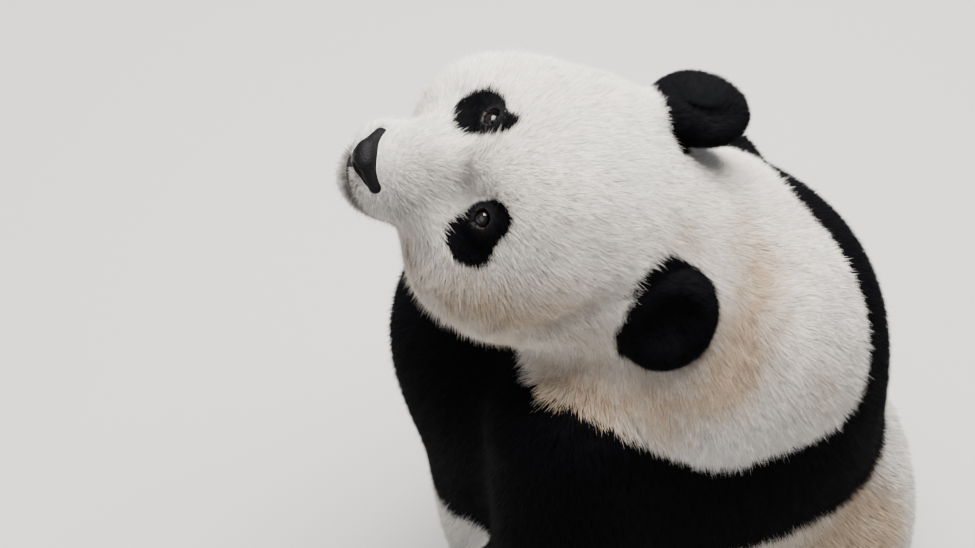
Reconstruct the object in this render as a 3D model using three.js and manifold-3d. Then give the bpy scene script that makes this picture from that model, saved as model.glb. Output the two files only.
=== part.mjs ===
// A giant panda, life size, sitting on its rump with its head raised and tilted to its left.
//
// Units are millimetres and +Z is up. The floor is z = 0, the panda faces -Y and its left side is +X.
// The origin lies on the floor, on the flat that the rump rests on.
//
// Flesh is a distance field, made of egg shapes (eggs) and tapered bones with round ends (bones) that
// flow into each other. A solid is the closed surface where such a field is zero, out to the tips of
// the coat. Thin cuts part it into the pieces that a person would name.

import * as THREE from "three";
import { mergeVertices } from "three/addons/utils/BufferGeometryUtils.js";
import Module from "manifold-3d";

const wasm = await Module();
wasm.setup();

// ---- Driving dimensions -----------------------------------------------------------------------

const GAP = 0.35; // clear space left between two pieces that touch
const SLIVER = 0.1; // the most that a piece's surface moves as its thinnest triangles are merged
const SIDES = { left: 1, right: -1 };
const DIGITS = [-2, -1, 0, 1, 2];

// The grid that a surface is drawn from: its cell, and how far the surface may be flattened after.
const GRAIN = {
  trunk: { cell: 80, flatten: 7 },
  limb: { cell: 52, flatten: 4.4 },
  head: { cell: 30, flatten: 2 },
  ear: { cell: 24, flatten: 2 },
  tail: { cell: 26, flatten: 1.2 },
  nose: { cell: 12, flatten: 0.5 },
};

// The head turns on the first neck joint: left about Z, then up, then over to its own left side.
// Its own frame has X to the panda's left, Y to the back of the head and Z to the crown.
const NECK_JOINT = [64, -169, 758];
const HEAD_TURN = 30.2;
const HEAD_LIFT = 32.5;
const HEAD_TILT = 27;

const EYE = { radius: 12, x: 55, y: -154, z: 63 };
const ORBIT = { radius: 36, x: 58, y: -204, z: 64 }; // the ball that hollows the face around an eye
const HOLLOW = { radius: 18, ahead: 24 }; // the ball that bares an eye, and how far ahead of it
// Each ear stands on its root and leans by these angles: back, and out to its side. The right ear is
// held higher by its lift, and the left ear lower.
const EAR = { x: 105, y: 29, z: 89, lift: 16, rise: 51, radius: 64, tall: 55, thick: 31, back: 67, out: 42 };
const NOSE = { y: -273, z: -1, tip: 14, wing: 41, sweep: 20 };
const MOUTH = { y: -230, z: -40, slope: 0.1, corner: -155 };
const CLAW = { length: 34, root: 5.4, bend: 50 };

const SHOULDER = { x: 180, y: -115, z: 545, radius: 108 };
const ELBOW = { x: 262, y: -95, z: 335, radius: 86 };
const WRIST = { x: 270, y: -236, z: 234, radius: 58 };
const HIP = { x: 195, y: -10, z: 160, radius: 128 };
const KNEE = { x: 335, y: -170, z: 92, radius: 95 };
const ANKLE = { x: 282, y: -350, z: 60, radius: 64 };

// Where the trunk is parted: a point of each plane, and the way it faces.
const HEAD_PLANE = { point: [34, -105, 712], towards: [0.25, -0.36, 0.9] };
const NECK_PLANE = { point: [0, -60, 556], towards: [-0.05, 0.2, 0.97] };
const BAND_PLANE = { point: [0, 0, 388], towards: [0, 0.06, 1] };
const LAP_PLANE = { point: [0, -85, 0], towards: [0, 1, 0.1] };

const COAT_WHITE = { color: 0xe8e1d3, roughness: 0.95, metalness: 0 };
const COAT_BLACK = { color: 0x17171b, roughness: 0.95, metalness: 0 };
const NOSE_SKIN = { color: 0x1a191b, roughness: 0.35, metalness: 0 };
const EYE_GLOSS = { color: 0x26160e, roughness: 0.05, metalness: 0 };
const CLAW_HORN = { color: 0x4b443b, roughness: 0.45, metalness: 0 };

// ---- Distance fields --------------------------------------------------------------------------
// A field is negative inside the flesh.

/** Joins distances a and b with a fillet about `soft` wide. */
function blend(a, b, soft) {
  const overlap = Math.max(soft - Math.abs(a - b), 0) / soft;
  return Math.min(a, b) - (overlap * overlap * soft) / 4;
}

/** Cuts b out of a, with a fillet about `soft` wide. */
const carve = (a, b, soft) => -blend(-a, b, soft);

/** An egg shape: centre, radii, fillet and an optional turn (degrees about X, Y and Z). */
function egg(centre, radii, soft = 60, turn = [0, 0, 0]) {
  const angles = turn.map((a) => THREE.MathUtils.degToRad(a));
  const back = new THREE.Matrix4().makeRotationFromEuler(new THREE.Euler(...angles, "ZYX")).invert();
  const middle = new THREE.Vector3(...centre);
  const q = new THREE.Vector3();
  const distance = (p) => {
    q.copy(p).sub(middle).applyMatrix4(back);
    const scaled = Math.hypot(q.x / radii[0], q.y / radii[1], q.z / radii[2]);
    const steep = Math.hypot(q.x / radii[0] ** 2, q.y / radii[1] ** 2, q.z / radii[2] ** 2);
    return steep < 1e-9 ? -Math.min(...radii) : (scaled * (scaled - 1)) / steep;
  };
  return { distance, soft };
}

/** A tapered bone between two points, with a ball of each radius at its ends. */
function bone(from, to, fromRadius, toRadius, soft = 40) {
  const start = new THREE.Vector3(...from);
  const axis = new THREE.Vector3(...to).sub(start);
  const reach = axis.length();
  axis.normalize();
  const lean = (fromRadius - toRadius) / reach; // the cone's slope, as a sine
  const upright = Math.sqrt(1 - lean * lean);
  const q = new THREE.Vector3();
  const distance = (p) => {
    q.copy(p).sub(start);
    const along = q.dot(axis);
    const out = Math.sqrt(Math.max(q.lengthSq() - along * along, 0));
    const k = along * upright - out * lean;
    if (k < 0) return Math.hypot(along, out) - fromRadius;
    if (k > reach * upright) return Math.hypot(along - reach, out) - toRadius;
    return out * upright + along * lean - fromRadius;
  };
  return { distance, soft };
}

/** One field from a list of eggs and bones. */
const flow = (parts) => (p) => parts.reduce((d, one) => blend(d, one.distance(p), one.soft), 1e4);

/** The same shapes on both sides: `make` gets +1 for the left and -1 for the right. */
const both = (make) => Object.values(SIDES).flatMap((side) => make(side));

/** The uphill direction of a field at a point, one long. */
function outward(field, p) {
  const step = 0.5;
  const slope = ["x", "y", "z"].map((axis) => {
    const [ahead, behind] = [p.clone(), p.clone()];
    ahead[axis] += step;
    behind[axis] -= step;
    return field(ahead) - field(behind);
  });
  return new THREE.Vector3(...slope).normalize();
}

// ---- From fields to solids --------------------------------------------------------------------

/**
 * The closed surface where a field is zero, inside a box [[lowest corner], [highest corner]]. Each
 * grid cell that the surface passes gets one point, drawn onto the surface. Each grid edge that it
 * crosses gets two triangles, between the points of the four cells around that edge.
 */
function surfaceOf(shape, room, { cell, flatten }) {
  const box = new THREE.Box3(...room.map((corner) => new THREE.Vector3(...corner)));
  const middle = box.getCenter(new THREE.Vector3());
  const half = box.getSize(new THREE.Vector3()).divideScalar(2);
  const [low, high] = [box.expandByScalar(cell).min.toArray(), box.max.toArray()];
  const field = (p) => {
    const [x, y, z] = ["x", "y", "z"].map((axis) => Math.abs(p[axis] - middle[axis]) - half[axis]);
    return Math.max(shape(p), x, y, z);
  };
  const count = low.map((x, axis) => Math.ceil((high[axis] - x) / cell) + 1);
  const place = (at) => new THREE.Vector3(...at.map((n, axis) => low[axis] + n * cell));
  const index = ([i, j, k]) => (k * count[1] + j) * count[0] + i;
  const shifted = (at, axis, by) => at.map((n, i) => (i === axis ? n + by : n));
  const grid = function* (from, less) {
    for (let k = from; k < count[2] - less; k++)
      for (let j = from; j < count[1] - less; j++)
        for (let i = from; i < count[0] - less; i++) yield [i, j, k];
  };
  const depth = new Float64Array(count[0] * count[1] * count[2]);
  for (const at of grid(0, 0)) depth[index(at)] = field(place(at));

  const points = [];
  const pointOf = new Map();
  for (const at of grid(0, 1)) {
    const point = cellPoint(at);
    if (!point) continue;
    pointOf.set(index(at), points.length);
    points.push(point);
  }
  const faces = [];
  for (const at of grid(1, 1)) for (let axis = 0; axis < 3; axis++) faces.push(...edgeFaces(at, axis));
  return new wasm.Manifold(
    new wasm.Mesh({
      numProp: 3,
      vertProperties: new Float32Array(points.flatMap((point) => point.toArray())),
      triVerts: new Uint32Array(faces),
    }),
  ).simplify(flatten);

  /** The middle of where the surface crosses a cell's edges, drawn onto the surface. */
  function cellPoint(at) {
    const crossings = [];
    for (let axis = 0; axis < 3; axis++)
      for (const [a, b] of [[0, 0], [0, 1], [1, 0], [1, 1]]) {
        const from = shifted(shifted(at, (axis + 1) % 3, a), (axis + 2) % 3, b);
        const to = shifted(from, axis, 1);
        const [u, v] = [depth[index(from)], depth[index(to)]];
        if (u < 0 !== v < 0) crossings.push(place(from).lerp(place(to), u / (u - v)));
      }
    if (!crossings.length) return null;
    const point = new THREE.Vector3();
    crossings.forEach((one) => point.addScaledVector(one, 1 / crossings.length));
    for (let turn = 0; turn < 3; turn++) {
      const step = Math.max(-cell / 3, Math.min(cell / 3, field(point)));
      point.addScaledVector(outward(field, point), -step);
    }
    return point;
  }

  /** The two triangles around a grid edge that the surface crosses, split the shorter way. */
  function edgeFaces(at, axis) {
    const inside = depth[index(at)] < 0;
    if (inside === depth[index(shifted(at, axis, 1))] < 0) return [];
    const ring = [[0, 0], [-1, 0], [-1, -1], [0, -1]].map(([a, b]) =>
      pointOf.get(index(shifted(shifted(at, (axis + 1) % 3, a), (axis + 2) % 3, b))),
    );
    if (!inside) ring.reverse();
    const across = (a, b) => points[ring[a]].distanceTo(points[ring[b]]);
    const [a, b, c, d] = across(0, 2) < across(1, 3) ? ring : [...ring.slice(1), ring[0]];
    return [a, b, c, a, c, d];
  }
}

/** The same solid with its skin moved outward by `by`. */
function swell(solid, field, by = GAP) {
  return solid.warp((v) => {
    const p = new THREE.Vector3(...v);
    p.addScaledVector(outward(field, p), by).toArray().forEach((x, i) => (v[i] = x));
  });
}

/** The largest body of a solid: what thin cuts leave beside it is dropped. */
const largest = (solid) => solid.decompose().reduce((a, b) => (b.volume() > a.volume() ? b : a));

/** A manifold solid from a closed three.js geometry. */
function solidOf(geometry) {
  const bare = geometry.clone();
  bare.deleteAttribute("normal");
  bare.deleteAttribute("uv");
  const merged = mergeVertices(bare, 1e-3);
  return new wasm.Manifold(
    new wasm.Mesh({
      numProp: 3,
      vertProperties: new Float32Array(merged.attributes.position.array),
      triVerts: new Uint32Array(merged.index.array),
    }),
  );
}

/** The side of a plane that it faces, starting `lift` above it. */
function sideOf({ point, towards }, lift = 0) {
  const reach = 3000;
  const facing = new THREE.Vector3(...towards).normalize();
  const turn = new THREE.Quaternion().setFromUnitVectors(new THREE.Vector3(0, 0, 1), facing);
  const block = new THREE.BoxGeometry(reach, reach, reach).translate(0, 0, reach / 2 + lift);
  return solidOf(block.applyQuaternion(turn).translate(...point));
}

/** Parts a solid along a plane: [the side that it faces, the other side], GAP apart. */
function part(solid, plane) {
  const other = { point: plane.point, towards: plane.towards.map((x) => -x) };
  return [plane, other].map((side) => largest(solid.intersect(sideOf(side, GAP / 2))));
}

const FLOOR = sideOf({ point: [0, 0, 0], towards: [0, 0, 1] });
const onFloor = (solid) => largest(solid.intersect(FLOOR));

// ---- The scene graph --------------------------------------------------------------------------

const panda = new THREE.Group();

/** Adds one named piece to the panda. */
function add(name, solid, finish) {
  const { vertProperties, triVerts } = solid.simplify(SLIVER).getMesh();
  const geometry = new THREE.BufferGeometry();
  geometry.setAttribute("position", new THREE.BufferAttribute(vertProperties, 3));
  geometry.setIndex(new THREE.BufferAttribute(triVerts, 1));
  geometry.computeVertexNormals();
  const mesh = new THREE.Mesh(geometry, new THREE.MeshStandardMaterial(finish));
  mesh.name = name;
  panda.add(mesh);
}

// ---- Paws and claws ---------------------------------------------------------------------------

/** The frame of a paw: X across, Y from heel to toes and Z to its upper side. */
function pawFrame(heel, along, up) {
  const y = new THREE.Vector3(...along).normalize();
  const x = new THREE.Vector3().crossVectors(y, new THREE.Vector3(...up)).normalize();
  const z = new THREE.Vector3().crossVectors(x, y);
  return new THREE.Matrix4().makeBasis(x, y, z).setPosition(...heel);
}

/** How far toe number i, from -2 to 2, reaches from the heel of a paw. */
const toeReach = (length, i) => length + 14 - 4 * i * i;

/** A paw's shapes: heel, palm and five toes. */
function pawParts(frame, radius, length) {
  const at = (x, y, z) => new THREE.Vector3(x, y, z).applyMatrix4(frame).toArray();
  const palm = length * 0.6;
  return [
    bone(at(0, 0, 0), at(0, palm, -2), radius, radius * 0.84, 40),
    bone(at(-radius * 0.5, palm, -4), at(radius * 0.5, palm, -4), radius * 0.66, radius * 0.66, 34),
    ...DIGITS.map((i) => {
      const reach = toeReach(length, i);
      return bone(at(i * 20, reach - 36, 0), at(i * 23, reach, -8), 22, 18, 12);
    }),
  ];
}

/** The claws of a paw: short hooks that start in the toes and bend down to the sole. */
function clawsOf(frame, length, by) {
  return DIGITS.map((i) => {
    const hook = new THREE.ConeGeometry(CLAW.root + by, CLAW.length, 5, 3);
    const turnPerLength = THREE.MathUtils.degToRad(CLAW.bend) / CLAW.length;
    const { position } = hook.attributes;
    for (let n = 0; n < position.count; n++) {
      const along = position.getY(n) + CLAW.length / 2;
      const angle = along * turnPerLength;
      const sweep = 1 / turnPerLength + position.getZ(n);
      position.setY(n, sweep * Math.sin(angle));
      position.setZ(n, sweep * Math.cos(angle) - 1 / turnPerLength);
    }
    const toe = new THREE.Matrix4().makeTranslation(i * 23.5, toeReach(length, i) + 2, 1);
    return solidOf(hook.applyMatrix4(toe).applyMatrix4(frame));
  });
}

// ---- Limbs ------------------------------------------------------------------------------------

/** A joint's centre on one side of the body. */
const joint = (place, side) => [side * place.x, place.y, place.z];

/** The direction from one point to another, one long. */
const direction = (from, to) =>
  new THREE.Vector3(...to).sub(new THREE.Vector3(...from)).normalize().toArray();

const sum = (a, b) => a.map((x, i) => x + b[i]);

/** A limb from its three joints and its paw: the field, its parting planes and its claws. */
function limb(side, joints, pawAlong, pawUp, pawLength, soft) {
  const [root, middle, end] = joints.map((place) => joint(place, side));
  const [rootRadius, middleRadius, endRadius] = joints.map((place) => place.radius);
  const along = [side * pawAlong[0], pawAlong[1], pawAlong[2]];
  const frame = pawFrame(end, along, pawUp);
  const upper = direction(root, middle);
  const lower = direction(middle, end);
  return {
    field: flow([
      bone(root, middle, rootRadius, middleRadius, soft),
      bone(middle, end, middleRadius * 0.98, endRadius, soft),
      ...pawParts(frame, endRadius * 0.9, pawLength),
    ]),
    bend: { point: middle, towards: sum(upper, lower) },
    cuff: { point: end, towards: sum(lower, along) },
    claws: (by) => clawsOf(frame, pawLength, by),
  };
}

// The forelegs hang at the sides and their paws lie over the shins. The knees fall outward, and the
// hind feet stand on their heels with the soles facing forward.
const FORE_PAW = { along: [-0.14, -0.89, -0.42], up: [0, -0.42, 0.89], length: 86 };
const HIND_PAW = { along: [0.1, -0.45, 0.89], up: [0, 0.89, 0.45], length: 104 };
const PAW_REST = 5; // how far a foreleg stays clear of the hind leg that it lies over

function legOf(side) {
  return limb(side, [HIP, KNEE, ANKLE], HIND_PAW.along, HIND_PAW.up, HIND_PAW.length, 60);
}

function armOf(side, leg) {
  const arm = limb(side, [SHOULDER, ELBOW, WRIST], FORE_PAW.along, FORE_PAW.up, FORE_PAW.length, 60);
  const free = arm.field;
  return { ...arm, field: (p) => carve(free(p), leg.field(p) - PAW_REST, 10) };
}

const legs = { left: legOf(SIDES.left), right: legOf(SIDES.right) };
const arms = { left: armOf(SIDES.left, legs.left), right: armOf(SIDES.right, legs.right) };

// ---- Trunk ------------------------------------------------------------------------------------

const trunkParts = [
  egg([0, -66, 245], [258, 284, 240], 90), // belly
  egg([0, 6, 190], [262, 219, 196], 90), // rump
  egg([0, -130, 462], [226, 276, 210], 110), // chest
  egg([-8, -4, 508], [214, 184, 200], 90), // upper back
  bone([8, -74, 590], [48, -130, 735], 172, 116, 80), // neck
  bone([20, -20, 570], [48, -90, 705], 150, 112, 80), // nape
];
const trunkFlow = flow(trunkParts);
const tailFlow = flow([bone([0, 180, 100], [0, 236, 34], 48, 37, 40)]);

const LIMB_INSET = 8; // how far under a limb's surface the trunk's fillet runs in to it

function trunkField(p) {
  let d = trunkFlow(p);
  for (const leg of Object.values(legs)) d = blend(d, leg.field(p) + LIMB_INSET, 80);
  for (const arm of Object.values(arms)) d = blend(d, arm.field(p) + LIMB_INSET, 60);
  return d;
}

// ---- Head -------------------------------------------------------------------------------------

const headPose = new THREE.Matrix4().makeTranslation(...NECK_JOINT);
headPose.multiply(new THREE.Matrix4().makeRotationZ(THREE.MathUtils.degToRad(HEAD_TURN)));
headPose.multiply(new THREE.Matrix4().makeRotationX(THREE.MathUtils.degToRad(-HEAD_LIFT)));
headPose.multiply(new THREE.Matrix4().makeRotationY(THREE.MathUtils.degToRad(HEAD_TILT)));
const headBack = headPose.clone().invert();

/** A field given in the head's frame, as the body sees it. */
function onHead(field) {
  const q = new THREE.Vector3();
  return (p) => field(q.copy(p).applyMatrix4(headBack));
}

/** A plane given in the head's frame, as the body sees it. */
function headPlane(point, towards) {
  const facing = new THREE.Vector3(...towards).transformDirection(headPose);
  return { point: new THREE.Vector3(...point).applyMatrix4(headPose).toArray(), towards: facing.toArray() };
}

// The ruff stands fuller on the right, and further forward.
const CHEEK = { [SIDES.left]: { x: 84, y: -82, length: 94 }, [SIDES.right]: { x: 91, y: -90, length: 100 } };

const skull = flow([
  egg([0, -45, 58], [116, 120, 98], 60), // brain case
  egg([0, -92, 76], [90, 78, 62], 50), // forehead
  ...both((s) => [
    egg([s * CHEEK[s].x, CHEEK[s].y, -12], [76, CHEEK[s].length, 92], 60, [0, s * 8, 0]), // cheek
    egg([s * 56, -28, 6], [80, 86, 92], 60), // jaw muscle
    egg([s * 44, -126, 66], [34, 34, 26], 30), // brow
  ]),
  egg([-88, -4, 62], [46, 60, 50], 50), // ruff ahead of the right ear
  egg([0, -82, -52], [104, 104, 62], 70), // throat
  bone([0, -150, 8], [0, -226, -12], 72, 55, 46), // muzzle
  ...both((s) => [egg([s * 20, -244, -20], [33, 32, 25], 18)]), // upper lip
  egg([0, -228, -54], [41, 48, 28], 26), // chin
]);

/** The head's surface, with a hollow around each eye. */
function headField(q) {
  const hollow = Math.hypot(Math.abs(q.x) - ORBIT.x, q.y - ORBIT.y, q.z - ORBIT.z) - ORBIT.radius;
  return carve(skull(q), hollow, 26);
}

/** An ear on its root: a round shell, hollow in front, that stands up from the origin. */
const earShell = flow([
  egg([0, 0, EAR.rise], [EAR.radius, EAR.thick, EAR.tall], 20),
  bone([0, 4, -4], [0, 2, EAR.rise - 12], 32, 38, 24),
]);
const earCup = egg([0, -38, EAR.rise + 2], [35, 22, 33]);
const earFlow = (q) => carve(earShell(q), earCup.distance(q), 14);

const earRoot = (side) => [side * EAR.x, EAR.y, EAR.z - side * EAR.lift];

/** An ear as the head sees it, leaning back and out. */
function earField(side) {
  const back = THREE.MathUtils.degToRad(EAR.back);
  const out = THREE.MathUtils.degToRad(EAR.out);
  const stance = new THREE.Matrix4().makeTranslation(...earRoot(side));
  stance.multiply(new THREE.Matrix4().makeRotationY(side * out));
  stance.multiply(new THREE.Matrix4().makeRotationX(-back));
  stance.invert();
  const q = new THREE.Vector3();
  return (p) => earFlow(q.copy(p).applyMatrix4(stance));
}

/** The nose pad: its tip, a wing swept back to each side, and the stem down to the lip. */
const noseField = flow([
  egg([0, NOSE.y, NOSE.z], [17, NOSE.tip, 13], 8),
  ...both((s) => [
    bone([s * 8, NOSE.y, NOSE.z], [s * (NOSE.wing - 9), NOSE.y + NOSE.sweep, NOSE.z + 1], 13, 9, 8),
  ]),
  egg([0, NOSE.y + 2, NOSE.z - 13], [8, 11, 14], 8),
]);

const head = onHead(headField);
const body = (p) => blend(trunkField(p), head(p), 60);

// ---- Build ------------------------------------------------------------------------------------

const ROOM = {
  trunk: [[-330, -400, -20], [330, 270, 820]],
  head: [[-200, -500, 620], [320, 120, 1020]],
};

/** The box that holds a limb on one side. */
const limbRoom = (side) => [[side > 0 ? 40 : -480, -560, -40], [side > 0 ? 480 : -40, 190, 690]];

function buildLimb(name, shape, side, [upperName, lowerName, pawName]) {
  const whole = surfaceOf(shape.field, limbRoom(side), GRAIN.limb);
  const [below, upper] = part(onFloor(whole), shape.bend);
  const [paw, lower] = part(below, shape.cuff);
  add(upperName + "_" + name, upper, COAT_BLACK);
  add(lowerName + "_" + name, lower, COAT_BLACK);
  const pockets = shape.claws(GAP);
  add(pawName + "_" + name, pockets.reduce((solid, pocket) => solid.subtract(pocket), paw), COAT_BLACK);
  shape.claws(0).forEach((claw, i) => {
    add([pawName, "claw", i + 1, name].join("_"), claw, CLAW_HORN);
  });
  return swell(whole, shape.field);
}

function buildTrunk(cutters) {
  const tail = surfaceOf(tailFlow, [[-80, 100, -30], [80, 300, 180]], GRAIN.tail);
  add("tail", onFloor(tail), COAT_WHITE);
  const surface = surfaceOf(body, ROOM.trunk, GRAIN.trunk);
  const cutAway = [...cutters, swell(tail, tailFlow)];
  const bare = onFloor(cutAway.reduce((solid, cutter) => solid.subtract(cutter), surface));
  const [, belowHead] = part(bare, HEAD_PLANE);
  const [neck, trunk] = part(belowHead, NECK_PLANE);
  const [chest, low] = part(trunk, BAND_PLANE);
  const [rump, belly] = part(low, LAP_PLANE);
  add("neck", neck, COAT_WHITE);
  add("chest", chest, COAT_BLACK);
  add("belly", belly, COAT_WHITE);
  add("rump", rump, COAT_WHITE);
}

/** Builds the head, and returns the room that its ears take in the neck. */
function buildHead() {
  const surface = surfaceOf(body, ROOM.head, GRAIN.head);
  const earRooms = [];
  let [flesh] = part(surface, HEAD_PLANE);
  for (const [name, side] of Object.entries(SIDES)) {
    const field = onHead(earField(side));
    const middle = new THREE.Vector3(...earRoot(side)).applyMatrix4(headPose);
    const room = [-110, 110].map((reach) => middle.clone().addScalar(reach).toArray());
    const ear = surfaceOf(field, room, GRAIN.ear);
    add("ear_" + name, ear, COAT_BLACK);
    earRooms.push(swell(ear, field));
    flesh = flesh.subtract(earRooms.at(-1));

    const ball = (radius, ahead) => {
      const sphere = new THREE.SphereGeometry(radius, 10, 7).translate(side * EYE.x, EYE.y - ahead, EYE.z);
      return solidOf(sphere.applyMatrix4(headPose));
    };
    add("eye_" + name, ball(EYE.radius, 0), EYE_GLOSS);
    flesh = flesh.subtract(ball(HOLLOW.radius, HOLLOW.ahead)).subtract(ball(EYE.radius + GAP, 0));
  }
  const nosePad = onHead(noseField);
  const middle = new THREE.Vector3(0, NOSE.y, NOSE.z).applyMatrix4(headPose);
  const room = [-60, 60].map((reach) => middle.clone().addScalar(reach).toArray());
  const nose = surfaceOf(nosePad, room, GRAIN.nose);
  add("nose", nose, NOSE_SKIN);
  flesh = flesh.subtract(swell(nose, nosePad));

  const underLip = headPlane([0, MOUTH.y, MOUTH.z], [0, -MOUTH.slope, -1]);
  const ahead = headPlane([0, MOUTH.corner, 0], [0, -1, 0]);
  const wedge = (lift) => sideOf(underLip, lift).intersect(sideOf(ahead, lift));
  add("lower_jaw", largest(flesh.intersect(wedge(GAP / 2))), COAT_WHITE);
  add("head", largest(flesh.subtract(wedge(-GAP / 2))), COAT_WHITE);
  return earRooms;
}

const earRooms = buildHead();
const limbRooms = Object.entries(SIDES).flatMap(([name, side]) => [
  buildLimb(name, arms[name], side, ["upper_arm", "forearm", "forepaw"]),
  buildLimb(name, legs[name], side, ["thigh", "shank", "hindpaw"]),
]);
buildTrunk([...earRooms, ...limbRooms]);

export default panda;
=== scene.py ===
"""A giant panda, life size, sitting on the floor and looking up past its left shoulder.

One skin covers the whole animal and lies under the coat by the coat's depth. The coat is joined mesh
tufts. The eyes, the nose pad and the claws are pieces of their own. The shapes follow the solids'
named sizes, but for the nose pad, which is a little narrower and less swept back. Lengths are in
metres. The body faces -Y, its left side is +X, the floor is at Z = 0. The head has its own frame:
X to its left, Y to its back and Z to its crown.
"""

import logging
import math
from dataclasses import dataclass, field
from enum import Enum

import bpy
import numpy as np
from mathutils import Matrix, Vector


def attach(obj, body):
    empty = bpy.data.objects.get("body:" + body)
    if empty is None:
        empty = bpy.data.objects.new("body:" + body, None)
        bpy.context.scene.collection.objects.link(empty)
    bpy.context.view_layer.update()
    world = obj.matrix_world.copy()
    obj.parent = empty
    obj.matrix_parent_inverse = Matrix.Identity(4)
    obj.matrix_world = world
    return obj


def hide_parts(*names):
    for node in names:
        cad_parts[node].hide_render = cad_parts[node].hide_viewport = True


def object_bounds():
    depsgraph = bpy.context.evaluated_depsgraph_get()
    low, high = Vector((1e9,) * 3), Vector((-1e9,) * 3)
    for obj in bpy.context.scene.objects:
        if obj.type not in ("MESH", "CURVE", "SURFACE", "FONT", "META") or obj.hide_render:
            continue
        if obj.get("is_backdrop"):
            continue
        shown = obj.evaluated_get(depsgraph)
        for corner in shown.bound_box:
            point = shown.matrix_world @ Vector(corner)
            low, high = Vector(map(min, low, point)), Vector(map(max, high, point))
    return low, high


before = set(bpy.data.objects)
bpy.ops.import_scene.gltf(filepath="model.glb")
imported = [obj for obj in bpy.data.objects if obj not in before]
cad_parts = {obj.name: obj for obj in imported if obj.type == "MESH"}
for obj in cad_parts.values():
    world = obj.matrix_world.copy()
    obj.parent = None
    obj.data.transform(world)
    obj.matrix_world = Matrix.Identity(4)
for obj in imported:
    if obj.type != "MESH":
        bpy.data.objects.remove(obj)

SOLID_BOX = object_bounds()
SEED = 20240
Triple = tuple[float, float, float]
Spots = tuple[tuple[Triple, float, float], ...]

log = logging.getLogger("panda")


# ---- Small mathematics -------------------------------------------------------------------------
# Many points are held as an array of three rows: x, y and z.


def span(rows: np.ndarray) -> np.ndarray:
    """Returns how long each column is."""
    return np.sqrt((rows * rows).sum(0))


def unit(rows: np.ndarray) -> np.ndarray:
    """Returns the rows scaled so that each column is one long."""
    return rows / np.maximum(span(rows), 1e-9)


def dot(a: np.ndarray, b: np.ndarray) -> np.ndarray:
    """Returns the product of each column of a with its column of b."""
    return (a * b).sum(0)


def column(triple: Triple) -> np.ndarray:
    """Returns one point as a column."""
    return np.asarray(triple, np.float32).reshape(3, 1)


def smooth_step(low: float, high: float, value: np.ndarray) -> np.ndarray:
    """Returns 0 at low and 1 at high, with a soft rise between them."""
    t = np.clip((value - low) / (high - low), 0.0, 1.0)
    return t * t * (3.0 - 2.0 * t)


def turning(axis: int, degrees: float) -> np.ndarray:
    """Returns the matrix that turns by an angle about the X, Y or Z axis."""
    c, s = math.cos(math.radians(degrees)), math.sin(math.radians(degrees))
    made = np.eye(3, dtype=np.float32)
    u, v = (axis + 1) % 3, (axis + 2) % 3
    made[u, u], made[u, v], made[v, u], made[v, v] = c, -s, s, c
    return made


def blend(a: np.ndarray, b: np.ndarray, soft: float) -> np.ndarray:
    """Joins two distances with a fillet about soft wide."""
    overlap = np.maximum(soft - np.abs(a - b), 0.0) / soft
    return np.minimum(a, b) - overlap * overlap * soft / 4


def carve(a: np.ndarray, b: np.ndarray, soft: float) -> np.ndarray:
    """Cuts the shape b out of the shape a, with a fillet about soft wide."""
    return -blend(-a, b, soft)


def hashed(cells: np.ndarray, salt: int) -> np.ndarray:
    """Returns an even random number from 0 to 1 for each column of whole numbers."""
    mixed = cells[0] * 73856093 ^ cells[1] * 19349663 ^ cells[2] * 83492791 ^ salt * 2654435761
    mixed = (mixed ^ (mixed >> 13)) * 1274126177 & 0x7FFFFFFF
    return ((mixed ^ (mixed >> 16)) & 0xFFFFFF) / float(0x1000000)


def noise(points: np.ndarray, size: float, salt: int) -> np.ndarray:
    """Returns smooth noise from -1 to 1, with lumps about size across.

    Args:
        points: Three rows of coordinates.
        size: The width of one lump.
        salt: A number that tells one noise from another.
    """
    scaled = points.astype(np.float64) / size
    low = np.floor(scaled).astype(np.int64)
    t = scaled - low
    t = t * t * (3.0 - 2.0 * t)
    total = np.zeros(points.shape[1])
    for corner in np.ndindex(2, 2, 2):
        step = np.asarray(corner).reshape(3, 1)
        weight = np.prod(np.where(step == 1, t, 1.0 - t), axis=0)
        total += weight * hashed(low + step, salt)
    return total * 2.0 - 1.0


# ---- Shapes ------------------------------------------------------------------------------------
# A shape's distance is negative inside it.


@dataclass(frozen=True)
class Egg:
    """An egg shape.

    Args:
        centre: Its middle.
        radii: Its three half widths.
        soft: How wide the fillet is where it joins the shapes before it.
        roll: Its turn about Y, in degrees.
    """

    centre: Triple
    radii: Triple
    soft: float = 0.06
    roll: float = 0.0

    def distance(self, points: np.ndarray) -> np.ndarray:
        """Returns how far each point is outside the egg."""
        local = points - column(self.centre)
        if self.roll:
            local = turning(1, self.roll).T @ local
        scaled = local / column(self.radii)
        reach = span(scaled)
        steep = scaled / column(self.radii)
        return reach * (reach - 1.0) / np.maximum(span(steep), 1e-4)


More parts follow.
